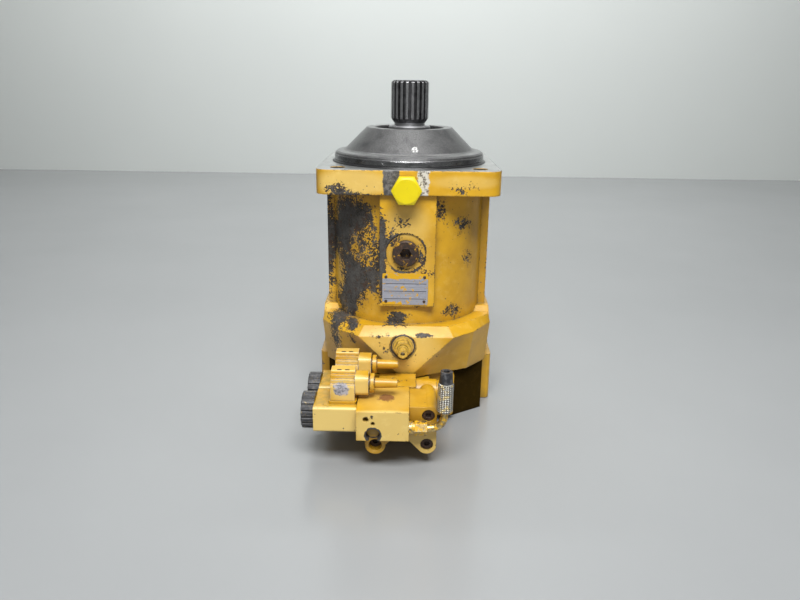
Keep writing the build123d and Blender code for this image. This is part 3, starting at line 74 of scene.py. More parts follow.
# ---- Node materials --------------------------------------------------------------------------------
class Finish:
    """Builds one procedural material around a Principled shader."""

    def __init__(self, name, roughness=0.5, metallic=0.0, coat=0.0, coat_roughness=0.2):
        self.material = bpy.data.materials.new(name)
        self.material.use_nodes = True
        self.tree = self.material.node_tree
        self.tree.nodes.clear()
        self.shader = self.add("ShaderNodeBsdfPrincipled")
        output = self.add("ShaderNodeOutputMaterial")
        self.tree.links.new(self.shader.outputs[0], output.inputs[0])
        self.place = self.add("ShaderNodeTexCoord").outputs["Object"]
        self.put(self.shader.inputs["Roughness"], roughness)
        self.put(self.shader.inputs["Metallic"], metallic)
        self.shader.inputs["Coat Weight"].default_value = coat
        self.shader.inputs["Coat Roughness"].default_value = coat_roughness

    def add(self, kind, **settings):
        made = self.tree.nodes.new(kind)
        for key, value in settings.items():
            setattr(made, key, value)
        return made

    def put(self, socket, value):
        """Link a socket's source, or set its plain value."""
        if isinstance(value, bpy.types.NodeSocket):
            self.tree.links.new(value, socket)
        elif isinstance(value, tuple) and socket.type == "RGBA":
            socket.default_value = (*value, 1.0)
        else:
            socket.default_value = value

    def math(self, operation, a, b=0.0, clamp=False):
        made = self.add("ShaderNodeMath", operation=operation, use_clamp=clamp)
        self.put(made.inputs[0], a)
        self.put(made.inputs[1], b)
        return made.outputs[0]

    def total(self, *values):
        result = values[0]
        for value in values[1:]:
            result = self.math("ADD", result, value)
        return result

    def times(self, a, b):
        return self.math("MULTIPLY", a, b)

    def larger(self, a, b):
        return self.math("MAXIMUM", a, b)

    def noise(self, scale, detail=3.0, rough=0.55, warp=0.0, place=None):
        made = self.add("ShaderNodeTexNoise")
        self.put(made.inputs["Vector"], place or self.place)
        made.inputs["Scale"].default_value = scale
        made.inputs["Detail"].default_value = detail
        made.inputs["Roughness"].default_value = rough
        made.inputs["Distortion"].default_value = warp
        return made.outputs["Fac"]

    def cells(self, scale, place=None, feature="F1"):
        made = self.add("ShaderNodeTexVoronoi", feature=feature)
        self.put(made.inputs["Vector"], place or self.place)
        made.inputs["Scale"].default_value = scale
        return made.outputs["Distance"]

    def stretched(self, x, y, z):
        """Object coordinates scaled on each axis, for streaks."""
        made = self.add("ShaderNodeMapping")
        self.put(made.inputs["Vector"], self.place)
        made.inputs["Scale"].default_value = (x, y, z)
        return made.outputs["Vector"]

    def step(self, value, low, high):
        """0 below low, 1 above high, smooth between."""
        made = self.add("ShaderNodeMapRange", interpolation_type="SMOOTHSTEP")
        self.put(made.inputs["Value"], value)
        self.put(made.inputs["From Min"], low)
        self.put(made.inputs["From Max"], high)
        return made.outputs["Result"]

    def axes(self):
        made = self.add("ShaderNodeSeparateXYZ")
        self.put(made.inputs[0], self.place)
        return made.outputs

    def facing(self):
        """The surface's own direction in the object's frame, as x, y and z."""
        made = self.add("ShaderNodeSeparateXYZ")
        source = self.add("ShaderNodeTexCoord")
        self.put(made.inputs[0], source.outputs["Normal"])
        return made.outputs

    def mix(self, factor, a, b):
        made = self.add("ShaderNodeMix", data_type="RGBA")
        self.put(made.inputs["Factor"], factor)
        self.put(made.inputs[6], a)
        self.put(made.inputs[7], b)
        return made.outputs[2]

    def blend(self, factor, a, b):
        """Plain number between a and b."""
        made = self.add("ShaderNodeMix", data_type="FLOAT")
        self.put(made.inputs["Factor"], factor)
        self.put(made.inputs[2], a)
        self.put(made.inputs[3], b)
        return made.outputs[0]

    def patch(self, centre, radii, inner=0.6):
        """Soft ellipsoid mask at a place in the frame, in millimetres."""
        made = self.add("ShaderNodeMapping", vector_type="TEXTURE")
        self.put(made.inputs["Vector"], self.place)
        made.inputs["Location"].default_value = [c * MM for c in centre]
        made.inputs["Scale"].default_value = [r * MM for r in radii]
        length = self.add("ShaderNodeVectorMath", operation="LENGTH")
        self.put(length.inputs[0], made.outputs["Vector"])
        return self.math("SUBTRACT", 1.0, self.step(length.outputs["Value"], inner, 1.0))

    def ring(self, centre, radius, width):
        """Soft band round an axis that runs along Y, on the control side, in millimetres."""
        x, y, z = self.axes()
        across = self.math("SUBTRACT", x, centre[0] * MM)
        up = self.math("SUBTRACT", z, centre[1] * MM)
        reach = self.math("SQRT", self.total(self.times(across, across), self.times(up, up)))
        off = self.math("ABSOLUTE", self.math("SUBTRACT", reach, radius * MM))
        return self.times(self.step(off, width * MM, 0.0), self.step(y, -0.04, -0.05))

    def edges(self, radius):
        """Where the surface turns within a radius in millimetres: worn or dirty corners."""
        rounded = self.add("ShaderNodeBevel", samples=4)
        rounded.inputs["Radius"].default_value = radius * MM
        plain = self.add("ShaderNodeNewGeometry")
        dot = self.add("ShaderNodeVectorMath", operation="DOT_PRODUCT")
        self.put(dot.inputs[0], rounded.outputs[0])
        self.put(dot.inputs[1], plain.outputs["Normal"])
        return self.step(self.math("SUBTRACT", 1.0, dot.outputs["Value"]), 0.01, 0.12)

    # Occlusion within a distance: high in hollows and joints, and used to paint shade there.
    def crevices(self, distance):
        made = self.add("ShaderNodeAmbientOcclusion", samples=4)
        made.inputs["Distance"].default_value = distance * MM
        return self.math("SUBTRACT", 1.0, made.outputs["AO"])

    def bump(self, height, strength, depth, under=None, soft_edge=0.0):
        """Bump of a height in millimetres, over another normal or a rounded edge."""
        made = self.add("ShaderNodeBump")
        made.inputs["Strength"].default_value = strength
        made.inputs["Distance"].default_value = depth * MM
        self.put(made.inputs["Height"], height)
        if under is None and soft_edge:
            rounded = self.add("ShaderNodeBevel", samples=4)
            rounded.inputs["Radius"].default_value = soft_edge * MM
            under = rounded.outputs[0]
        if under is not None:
            self.put(made.inputs["Normal"], under)
        return made.outputs[0]

    def finish(self, colour, roughness=None, metallic=None, normal=None):
        self.put(self.shader.inputs["Base Color"], colour)
        if roughness is not None:
            self.put(self.shader.inputs["Roughness"], roughness)
        if metallic is not None:
            self.put(self.shader.inputs["Metallic"], metallic)
        if normal is not None:
            self.put(self.shader.inputs["Normal"], normal)
        return self.material


YELLOW = (0.66, 0.365, 0.010)
YELLOW_DEEP = (0.44, 0.225, 0.006)
YELLOW_PALE = (0.78, 0.57, 0.18)
PRIMER = (0.020, 0.017, 0.014)
SCRATCHED = (0.105, 0.100, 0.092)
BARE_IRON = (0.19, 0.18, 0.17)
RUST = (0.075, 0.034, 0.016)
# Near black for grime in joints and for painted shade in tight corners and bolt holes.
GRIME_AND_SHADE = (0.030, 0.022, 0.012)
CHIP_LEVEL = 0.772
STRAY_CHIPS = 0.012


def painted(name, wear=(), chips=0.0, grime=0.5, pale=(), rings=(), edge_wear=0.35, soft_edge=1.2):
    """Gloss yellow paint on cast iron, chipped to dark primer and bare metal.

    wear lists (centre, radii, strength) where the paint has come away, pale the same where it is
    lighter, chalked paint and painted sheen on front faces, and rings (centre, radius, width, strength)
    round screwed faces, all in millimetres.
    Returns the finish with its colour, roughness, metallic and normal.
    """
    f = Finish(name, coat=0.40, coat_roughness=0.30)
    fine = f.noise(430, 9.0, 0.66)
    broad = f.noise(75, 6.0, 0.62, 0.6)
    field = f.total(f.times(fine, 0.66), f.times(broad, 0.52))
    bias = chips + STRAY_CHIPS
    for centre, radii, strength in wear:
        bias = f.total(f.times(f.patch(centre, radii, 0.0), strength), bias)
    for centre, radius, width, strength in rings:
        bias = f.total(f.times(f.ring(centre, radius, width), strength), bias)
    edge = f.edges(2.2)
    worn_edge = f.times(edge, f.step(f.noise(170, 5.0, 0.65), 0.45, 0.60))
    lost = f.total(field, bias, f.times(worn_edge, edge_wear))
    chip = f.step(lost, CHIP_LEVEL, CHIP_LEVEL + 0.008)
    bared = f.step(lost, 0.86, 0.92)
    cluster = f.step(f.noise(28, 3.0), 0.53, 0.62)
    speck = f.times(f.step(f.total(f.cells(150), f.times(fine, 0.35)), 0.30, 0.26), cluster)
    chip = f.larger(chip, speck)

    tone = f.mix(f.step(f.noise(14, 4.0, 0.6), 0.3, 0.75), YELLOW, YELLOW_DEEP)
    # Lighter paint: random chalking, plus the pale patches, which are chalk and painted sheen on front
    # faces.
    chalk_and_sheen = f.times(f.step(f.noise(90, 5.0, 0.7), 0.5, 0.8), 0.30)
    for centre, radii, strength in pale:
        chalk_and_sheen = f.total(chalk_and_sheen, f.times(f.patch(centre, radii, 0.5), strength))
    tone = f.mix(f.math("MINIMUM", chalk_and_sheen, 0.9), tone, YELLOW_PALE)
    rim = f.math("SUBTRACT", f.step(lost, 0.735, CHIP_LEVEL), chip, clamp=True)
    tone = f.mix(f.times(rim, 0.30), tone, YELLOW_DEEP)
    # Painted shade with grime: a dark brown film where occlusion is high, in hollows and under overhangs,
    # broken up by smears.
    occlusion_shade = f.crevices(16)
    smear = f.times(f.noise(45, 6.0, 0.68), 0.55)
    film = f.times(f.step(f.total(f.times(occlusion_shade, 0.9), smear), 0.42, 0.92), grime)
    tone = f.mix(film, tone, (0.085, 0.058, 0.020))
    # Dark grime in joints and painted shade in tight corners, both found by occlusion.
    seam_and_shade = f.times(f.step(f.crevices(3.5), 0.42, 0.72), 0.85)
    primer = f.mix(f.step(f.noise(300, 7.0, 0.72), 0.45, 0.60), PRIMER, (0.060, 0.052, 0.044))
    primer = f.mix(f.times(f.step(f.noise(95, 5.0, 0.7), 0.50, 0.60), 0.8), primer, SCRATCHED)
    primer = f.mix(f.times(bared, 0.7), primer, f.mix(f.noise(500, 5.0), BARE_IRON, PRIMER))
    primer = f.mix(f.times(f.step(f.noise(130, 5.0, 0.65), 0.53, 0.62), 0.6), primer, RUST)
    colour = f.mix(chip, tone, primer)
    colour = f.mix(seam_and_shade, colour, GRIME_AND_SHADE)
    rough = f.blend(chip, f.total(0.30, f.times(f.noise(220, 4.0), 0.22)), 0.60)
    rough = f.total(rough, f.times(film, 0.2))
    metallic = f.times(bared, 0.4)
    f.put(f.shader.inputs["Coat Weight"], f.times(f.math("SUBTRACT", 1.0, f.larger(chip, seam_and_shade)), 0.35))
    relief = f.total(f.times(chip, -0.5), f.times(f.noise(260, 4.0, 0.6), 0.30))
    normal = f.bump(relief, 0.55, 0.5, soft_edge=soft_edge)
    return f, colour, rough, metallic, normal


def simple_painted(name, **options):
    f, *look = painted(name, **options)
    return f.finish(*look)


def housing_finish():
    """The housing: chipped paint below, machined flange face, pilot and bare cast nose above."""
    wear = [
        ((-64, -66, -58), (46, 110, 50), 0.34),
        ((-80, -50, -92), (22, 90, 46), 0.26),
        ((-58, -70, -125), (32, 100, 38), 0.40),
        ((-70, -64, -160), (34, 90, 40), 0.34),
        ((-97, -20, -100), (14, 90, 130), 0.30),
        ((-50, -80, -92), (20, 60, 20), 0.12),
        ((-29, -96, -96), (8, 14, 80), 0.40),
        ((-37, -90, -112), (16, 20, 76), 0.24),
        ((-10, -97, -60), (24, 8, 18), 0.17),
        ((-18, -97, -76), (16, 8, 14), 0.22),
        ((16, -97, -96), (12, 8, 30), 0.16),
        ((24, -97, -118), (14, 8, 10), 0.18),
        ((-6, -96, -113), (34, 8, 6), 0.16),
        ((-12, -96, -172), (28, 16, 17), 0.34),
        ((14, -96, -158), (22, 14, 9), 0.18),
        ((-84, -70, -194), (18, 46, 40), 0.27),
        ((-62, -90, -190), (12, 26, 26), 0.24),
        ((-74, -80, -226), (26, 50, 24), 0.18),
        ((-30, -110, -188), (22, 18, 6), 0.20),
        ((20, -110, -187), (20, 18, 4), 0.34),
        ((-78, -100, -21), (26, 12, 15), 0.22),
        ((-50, -100, -27), (40, 12, 8), 0.22),
        ((58, -100, -17), (28, 12, 15), 0.20),
        ((38, -84, -46), (18, 40, 26), 0.20),
        ((64, -66, -68), (28, 60, 22), 0.20),
        ((70, -58, -106), (14, 50, 24), 0.19),
        ((54, -76, -168), (28, 50, 18), 0.19),
        ((-20, -112, -205), (20, 12, 18), 0.12),
        ((30, -112, -215), (40, 14, 20), 0.10),
    ]
    rings = [((-2, -93), 23.0, 2.2, 0.16), ((-2, -93), 17.5, 4.0, 0.10), ((-3.5, -201), 13.5, 1.8, 0.34)]
    # Lighter paint on the front faces: chalked paint and painted sheen.
    pale = [
        ((-62, -102, -14), (60, 10, 18), 0.60), ((62, -102, -12), (50, 10, 9), 0.35),
        ((0, -98, -110), (40, 6, 90), 0.15), ((-8, -112, -200), (62, 16, 40), 0.60),
        ((0, -98, -58), (34, 6, 26), 0.30), ((-100, -40, -120), (10, 60, 120), 0.2),
    ]
    f, colour, rough, metallic, normal = painted(
        "painted_casting", wear, grime=0.62, pale=pale, rings=rings, edge_wear=0.24, soft_edge=2.4
    )
    x, y, z = f.axes()
    up = f.facing()[2]
    # Bare strip either side of the drain port on the flange's front face.
    front = f.step(y, PAST_PAD_Y + 0.0005, PAST_PAD_Y - 0.0005)
    wander = f.times(f.math("SUBTRACT", f.noise(130, 5.0, 0.6), 0.5), 0.012)
    strip_x = f.total(x, wander)
    left_strip = f.times(f.step(strip_x, -0.0285, -0.0270), f.step(strip_x, -0.009, -0.0105))
    right_strip = f.times(f.step(strip_x, 0.008, 0.0095), f.step(strip_x, 0.0235, 0.0215))
    on_flange = f.times(front, f.step(z, FLANGE_LOW_Z, FLANGE_LOW_Z + 0.001))
    dark_steel = f.mix(f.step(f.noise(260, 6.0, 0.7), 0.4, 0.65), (0.05, 0.047, 0.046), (0.20, 0.19, 0.185))
    pale_steel = f.mix(f.step(f.noise(240, 6.0, 0.7), 0.5, 0.6), (0.60, 0.58, 0.53), (0.10, 0.08, 0.06))
    colour = f.mix(f.times(left_strip, on_flange), colour, dark_steel)
    colour = f.mix(f.times(right_strip, on_flange), colour, pale_steel)
    # Machined flange face.
    top = f.times(f.step(z, -0.0008, -0.0002), f.step(up, 0.5, 0.8))
    turning = f.add("ShaderNodeTexWave", wave_type="RINGS", rings_direction="Z")
    turning.inputs["Scale"].default_value = 900
    turning.inputs["Distortion"].default_value = 0.4
    f.put(turning.inputs["Vector"], f.place)
    face = f.mix(f.step(f.noise(38, 6.0, 0.65), 0.35, 0.7), (0.36, 0.37, 0.36), (0.20, 0.205, 0.20))
    face = f.mix(f.times(turning.outputs["Fac"], 0.25), face, (0.5, 0.5, 0.5))
    face = f.mix(f.step(f.noise(190, 5.0, 0.7), 0.63, 0.70), face, (0.05, 0.045, 0.04))
    colour = f.mix(top, colour, face)
    rough = f.blend(top, rough, 0.36)
    metallic = f.blend(top, metallic, 0.8)
    # Cast nose and machined pilot.
    nose = f.step(z, 0.0004, 0.0008)
    radius = f.math("SQRT", f.total(f.times(x, x), f.times(y, y)))
    pilot = f.times(f.step(radius, 0.0885, 0.0893), f.step(z, 0.0086, 0.0080))
    grain = f.noise(1500, 4.0, 0.7)
    cast = f.mix(f.step(grain, 0.35, 0.7), (0.050, 0.050, 0.050), (0.21, 0.21, 0.21))
    cast = f.mix(f.step(f.noise(70, 4.0), 0.45, 0.8), cast, (0.055, 0.055, 0.057))
    dab = f.patch((6.5, -76, 19.5), (4.5, 12, 4.2), 0.75)
    dab = f.times(dab, f.step(f.noise(520, 4.0, 0.6), 0.44, 0.50))
    cast = f.mix(dab, cast, (0.62, 0.62, 0.60))
    turned = f.mix(f.step(f.noise(120, 5.0, 0.6), 0.4, 0.75), (0.27, 0.27, 0.275), (0.10, 0.10, 0.10))
    upper = f.mix(pilot, cast, turned)
    colour = f.mix(nose, colour, upper)
    rough = f.blend(nose, rough, f.blend(pilot, f.total(0.27, f.times(grain, 0.25)), 0.22))
    metallic = f.blend(nose, metallic, f.blend(pilot, f.math("SUBTRACT", 0.62, f.times(dab, 0.6)), 0.95))
    # Painted shade inside the flange's bolt holes: their walls are coloured near black.
    bolt_x = f.math("SUBTRACT", f.math("ABSOLUTE", x), BOLT_OFFSET)
    bolt_y = f.math("SUBTRACT", f.math("ABSOLUTE", y), BOLT_OFFSET)
    from_bolt = f.math("SQRT", f.total(f.times(bolt_x, bolt_x), f.times(bolt_y, bolt_y)))
    depth = f.times(f.step(z, -0.0002, -0.0012), f.step(z, FLANGE_LOW_Z, FLANGE_LOW_Z + 0.0007))
    holes = f.times(f.step(from_bolt, 0.0092, 0.0088), depth)
    colour = f.mix(holes, colour, GRIME_AND_SHADE)
    # Machined leakage-port faces on the sides.
    side = f.times(f.step(f.math("ABSOLUTE", x), 0.1062, 0.1066), f.step(z, -0.205, -0.206))
    colour = f.mix(side, colour, f.mix(f.noise(80, 5.0), (0.12, 0.12, 0.12), (0.25, 0.25, 0.25)))
    metallic = f.blend(side, metallic, 0.8)
    grit = f.bump(grain, 0.35, 0.25, under=normal)
    f.put(f.shader.inputs["Normal"], grit)
    made = f.finish(colour, rough, metallic)
    return made


def steel(name, light, dark, roughness=0.3, scale=120.0, grain=0.15, streak=None, rust=0.0):
    """Machined or ground steel with stains, fine scratches and a little rust."""
    f = Finish(name, metallic=0.95)
    place = f.stretched(*streak) if streak else f.place
    stain = f.step(f.noise(scale, 5.0, 0.65), 0.35, 0.72)
    colour = f.mix(stain, light, dark)
    scratch = f.noise(900, 3.0, 0.6, place=place)
    colour = f.mix(f.times(f.step(scratch, 0.5, 0.75), 0.4), colour, dark)
    if rust:
        colour = f.mix(f.times(f.step(f.noise(scale * 2.2, 6.0, 0.7), 0.5, 0.62), rust), colour, RUST)
    rough = f.total(roughness, f.times(stain, 0.15), f.times(scratch, 0.1))
    normal = f.bump(scratch, grain, 0.12, soft_edge=0.4)
    return f.finish(colour, rough, f.math("SUBTRACT", 0.95, f.times(stain, 0.15)), normal)


def rubber(name, tone=(0.012, 0.012, 0.013), roughness=0.42):
    f = Finish(name)
    dust = f.step(f.noise(260, 6.0, 0.7), 0.55, 0.75)
    colour = f.mix(f.times(dust, 0.35), tone, (0.10, 0.10, 0.095))
    normal = f.bump(f.noise(900, 3.0), 0.2, 0.1, soft_edge=0.4)
    return f.finish(colour, f.total(roughness, f.times(dust, 0.25)), 0.0, normal)


def black_plastic(name, overspray=0.0):
    """Moulded black plastic, scuffed grey, with specks of yellow overspray."""
    f = Finish(name)
    scuff = f.step(f.noise(210, 6.0, 0.7), 0.47, 0.66)
    colour = f.mix(f.times(scuff, 0.75), (0.022, 0.022, 0.025), (0.13, 0.13, 0.135))
    edge = f.edges(0.8)
    colour = f.mix(f.times(edge, 0.5), colour, (0.20, 0.20, 0.20))
    if overspray:
        spray = f.times(f.step(f.noise(330, 6.0, 0.7), 0.60, 0.64), overspray)
        colour = f.mix(spray, colour, YELLOW_PALE)
    normal = f.bump(f.noise(700, 4.0), 0.25, 0.15, soft_edge=0.4)
    return f.finish(colour, f.total(0.42, f.times(scuff, 0.2)), 0.0, normal)


def yellow_plastic():
    f = Finish("yellow_plastic", roughness=0.3)
    shade = f.step(f.noise(60, 3.0), 0.3, 0.8)
    colour = f.mix(f.times(shade, 0.3), (0.74, 0.60, 0.004), (0.60, 0.46, 0.006))
    colour = f.mix(f.times(f.step(f.noise(420, 5.0, 0.7), 0.64, 0.72), 0.5), colour, (0.40, 0.33, 0.05))
    f.shader.inputs["Subsurface Weight"].default_value = 0.06
    f.shader.inputs["Subsurface Radius"].default_value = (0.003, 0.002, 0.0005)
    f.shader.inputs["Subsurface Scale"].default_value = 1.0
    normal = f.bump(f.noise(300, 3.0), 0.12, 0.2, soft_edge=0.8)
    return f.finish(colour, f.total(0.26, f.times(f.noise(500, 3.0), 0.15)), 0.0, normal)


def nameplate_finish():
    """Printed aluminium plate: ruled lines, faint rows of marks with no letters, and splashed paint."""
    f = Finish("nameplate_metal")
    x, _, z = f.axes()
    brushed = f.noise(1200, 3.0, 0.6, place=f.stretched(0.05, 1.0, 1.0))
    plate = f.mix(brushed, (0.55, 0.56, 0.63), (0.36, 0.37, 0.43))
    lines = None
    for level in (-0.1285, -0.1375, -0.1465):
        above = f.step(z, level - 0.0005, level - 0.0003)
        band = f.times(above, f.step(z, level + 0.0005, level + 0.0003))
        lines = band if lines is None else f.larger(lines, band)
    inner = f.step(f.math("ABSOLUTE", f.total(x, 0.002)), 0.0245, 0.0242)
    plate = f.mix(f.times(f.times(lines, inner), 0.85), plate, (0.05, 0.05, 0.07))
    scrawl = f.noise(700, 4.0, 0.7, place=f.stretched(1.0, 1.0, 0.25))
    rows = f.step(f.math("SINE", f.times(z, 1250.0)), 0.45, 0.8)
    marks = f.times(f.times(f.step(scrawl, 0.52, 0.6), rows), f.times(inner, 0.35))
    plate = f.mix(marks, plate, (0.12, 0.12, 0.16))
    splash = f.noise(190, 6.0, 0.65)
    head = f.step(z, -0.1235, -0.1220)
    strip = f.larger(head, f.times(f.step(z, -0.1490, -0.1515), f.step(x, -0.002, -0.010)))
    paint = f.step(f.total(splash, f.times(strip, 0.22)), 0.60, 0.62)
    colour = f.mix(paint, plate, YELLOW)
    rough = f.blend(paint, 0.34, 0.45)
    metallic = f.blend(paint, 0.55, 0.0)
    normal = f.bump(f.total(paint, f.times(brushed, 0.2)), 0.3, 0.15)
    return f.finish(colour, rough, metallic, normal)


def rusty(name, base=(0.035, 0.028, 0.024), paint=0.0):
    """Dark oxidised steel of screws and plugs."""
    f = Finish(name)
    patches = f.step(f.noise(320, 7.0, 0.7), 0.42, 0.62)
    colour = f.mix(patches, base, (0.085, 0.045, 0.028))
    colour = f.mix(f.times(f.step(f.noise(500, 5.0, 0.7), 0.58, 0.68), 0.6), colour, (0.20, 0.13, 0.09))
    colour = f.mix(f.times(f.edges(0.8), 0.35), colour, (0.20, 0.17, 0.15))
    metallic = 0.45
    if paint:
        film = f.step(f.total(f.noise(150, 6.0, 0.65), 0.0), 0.62 - paint * 0.2, 0.64 - paint * 0.2)
        colour = f.mix(film, colour, YELLOW_DEEP)
        metallic = f.blend(film, 0.45, 0.0)
    normal = f.bump(patches, 0.4, 0.2, soft_edge=0.5)
    return f.finish(colour, f.total(0.42, f.times(patches, 0.22)), metallic, normal)


def make_finishes():
    """One material for each CAD node."""
    plate_wear = [((0, -76, -285), (60, 20, 24), 0.1), ((-112, -10, -270), (12, 40, 40), 0.25)]
    body_wear = [((-10, -135, -231), (26, 20, 8), 0.24), ((20, -165, -240), (16, 10, 12), 0.12)]
    table = {
        "housing": housing_finish(),
        "port_plate": port_plate_finish(plate_wear),
        "control_body": simple_painted("painted_body", wear=body_wear, grime=0.35, chips=-0.02),
        "pilot_block": block_finish(),
        "stroking_cover": simple_painted("painted_cover", grime=0.35, chips=-0.02),
        "control_end_plug": simple_painted("painted_end_plug", grime=0.35),
        "drive_shaft": shaft_finish(),
        "seal_carrier": steel("carrier_iron", (0.42, 0.42, 0.42), (0.13, 0.13, 0.13), 0.32, 90),
        "retaining_ring": steel("spring_steel", (0.10, 0.10, 0.105), (0.04, 0.04, 0.04), 0.35),
        "shaft_seal": rubber("seal_rubber"),
        "pilot_o_ring": rubber("ring_rubber", roughness=0.30),
        "port_plate_seal": rubber("gasket_rubber"),
        "transport_cap": yellow_plastic(),
        "nameplate": nameplate_finish(),
        "nameplate_rivets": rusty("rivet_steel", (0.06, 0.05, 0.045)),
        "pad_plug": rusty("plug_steel", (0.045, 0.034, 0.028), paint=0.15),
        "port_plate_bolts": rusty("bolt_steel"),
        "clamp_screws": rusty("clamp_steel", paint=0.5),
        "pilot_block_screws": rusty("block_screw_steel", (0.05, 0.03, 0.022)),
        "retaining_plate_screws": rusty("retainer_steel", (0.10, 0.10, 0.10)),
        "test_nipple": nipple_finish(),
        "pipe_union": brass("union_brass", paint=0.35),
        "pilot_pipe": brass("pipe_brass", paint=0.2),
        "pipe_cap": black_plastic("pipe_cap_plastic"),
        "cap_nut_front": black_plastic("nut_plastic_front", 0.5),
        "cap_nut_rear": black_plastic("nut_plastic_rear", 0.3),
        "coil_front": coil_finish("coil_front_paint", "coil_front"),
        "coil_rear": coil_finish("coil_rear_paint", "coil_rear", olive=0.5),
        "cable_plug_front": plug_finish("plug_front_paint", "cable_plug_front", 1.0),
        "cable_plug_rear": plug_finish("plug_rear_paint", "cable_plug_rear", 0.5),
        "plug_boots": simple_painted("boot_paint", chips=-0.03, grime=0.3, soft_edge=0.6),
        "pipe_sleeve": braid_finish(),
    }
    bright = steel("bearing_steel", (0.62, 0.62, 0.64), (0.42, 0.42, 0.44), 0.18, 60, 0.06)
    working = steel("working_steel", (0.50, 0.50, 0.52), (0.30, 0.30, 0.32), 0.24, 70, 0.08)
    bronze = steel("lens_bronze", (0.52, 0.38, 0.20), (0.36, 0.25, 0.12), 0.28, 60, 0.08)
    for node in nodes:
        if node in table:
            continue
        if "bearing" in node or "spring" in node:
            table[node] = bright
        elif node == "control_lens":
            table[node] = bronze
        else:
            table[node] = working
    return table


def port_plate_finish(wear):
    """The port plate: painted cheeks, machined port faces and a front coloured near black as painted shade
    under the case.
    """
    f, colour, rough, metallic, normal = painted(
        "painted_port_plate", wear, grime=0.7, edge_wear=0.25, soft_edge=2.0
    )
    x, y, z = f.axes()
    # Painted shade: the plate's front, where the case overhangs it, is coloured near black, without coat or
    # sheen.
    wander = f.times(f.noise(60, 5.0, 0.65), 0.03)
    shade = f.step(f.total(y, wander), -0.024, -0.032)
    dark = f.mix(f.step(f.noise(120, 6.0, 0.7), 0.5, 0.62), (0.004, 0.0035, 0.003), (0.012, 0.008, 0.004))
    colour = f.mix(f.times(shade, 0.96), colour, dark)
    lit = f.math("SUBTRACT", 1.0, shade)
    f.put(f.shader.inputs["Coat Weight"], f.times(lit, 0.35))
    f.put(f.shader.inputs["Specular IOR Level"], f.times(lit, 0.5))
    side = f.step(f.math("ABSOLUTE", x), 0.1093, 0.1098)
    machined = f.mix(f.step(f.noise(90, 6.0, 0.7), 0.4, 0.65), (0.26, 0.26, 0.26), (0.08, 0.075, 0.07))
    spray = f.step(f.total(f.noise(150, 6.0, 0.6), f.times(f.edges(3.0), 0.15)), 0.60, 0.66)
    machined = f.mix(spray, machined, YELLOW)
    colour = f.mix(side, colour, machined)
    metallic = f.blend(side, metallic, f.times(f.math("SUBTRACT", 1.0, spray), 0.8))
    under = f.step(z, -0.3045, -0.3049)
    colour = f.mix(under, colour, (0.14, 0.135, 0.13))
    return f.finish(colour, rough, metallic, normal)


def block_finish():
    """The pilot block: paint with a rust bloom on top and dark seams."""
    low, high = (Vector(corner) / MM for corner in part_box("pilot_block"))
    wear = [((-17, low.y + 4, high.z), (24, 8, 5), 0.12), ((low.x, -182, high.z - 16), (4, 40, 26), 0.22),
            ((-36, low.y, high.z - 6), (8, 5, 6), 0.22), ((-30, low.y, low.z + 4), (26, 6, 7), 0.14),
            ((0, low.y, high.z - 30), (12, 5, 12), 0.08)]
    # Lighter front and top: chalked paint and painted sheen.
    pale = [((-20, low.y, high.z - 16), (50, 8, 34), 0.75), ((20, -197, low.z + 12), (30, 8, 30), 0.6),
            ((-20, -180, high.z), (40, 40, 4), 0.3)]
    rings = [((-33, -259.5), 8.0, 2.4, 0.40)]
    f, colour, rough, metallic, normal = painted(
        "painted_block", wear, chips=-0.03, grime=0.3, pale=pale, rings=rings, edge_wear=0.20
    )
    bloom_place = (-20, low.y + 34, high.z)
    bloom = f.patch(bloom_place, (20, 19, 4), 0.1)
    ragged = f.total(f.times(bloom, 0.34), f.times(f.noise(300, 8.0, 0.72), 0.60))
    bloom = f.times(f.step(ragged, 0.52, 0.56), f.step(bloom, 0.04, 0.2))
    rust = f.mix(f.noise(500, 5.0, 0.7), (0.13, 0.050, 0.016), (0.34, 0.15, 0.035))
    colour = f.mix(bloom, colour, rust)
    rough = f.blend(bloom, rough, 0.8)
    return f.finish(colour, rough, metallic, normal)


def coil_finish(name, node, olive=0.15):
    """Painted coil: a case lightened on its front by chalk and painted sheen, with an olive grime film on
    the top near its nut.
    """
    low, high = (Vector(corner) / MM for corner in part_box(node))
    mid_y = (low.y + high.y) / 2
    wear = [
        ((high.x, mid_y, high.z - 20), (4, 30, 30), 0.26),
        ((low.x + 30, low.y, high.z - 2), (40, 3, 3), 0.20),
        ((low.x, mid_y, low.z + 14), (6, 30, 20), 0.22),
        ((low.x + 24, low.y + 2, low.z), (40, 8, 4), 0.18),
    ]
    # Lighter front and top: chalked paint and painted sheen.
    pale = [((low.x + 22, low.y, high.z - 14), (50, 6, 34), 0.95)]
    f, colour, rough, metallic, normal = painted(
        name, wear, chips=-0.06, grime=0.25, pale=pale, edge_wear=0.16, soft_edge=0.8
    )
    film = f.patch((low.x + 8, mid_y, high.z), (26, 46, 10), 0.2)
    film = f.times(film, f.step(f.noise(80, 6.0, 0.7), 0.34, 0.62))
    colour = f.mix(f.times(film, 0.45 + olive * 0.5), colour, (0.15, 0.135, 0.030))
    return f.finish(colour, rough, metallic, normal)


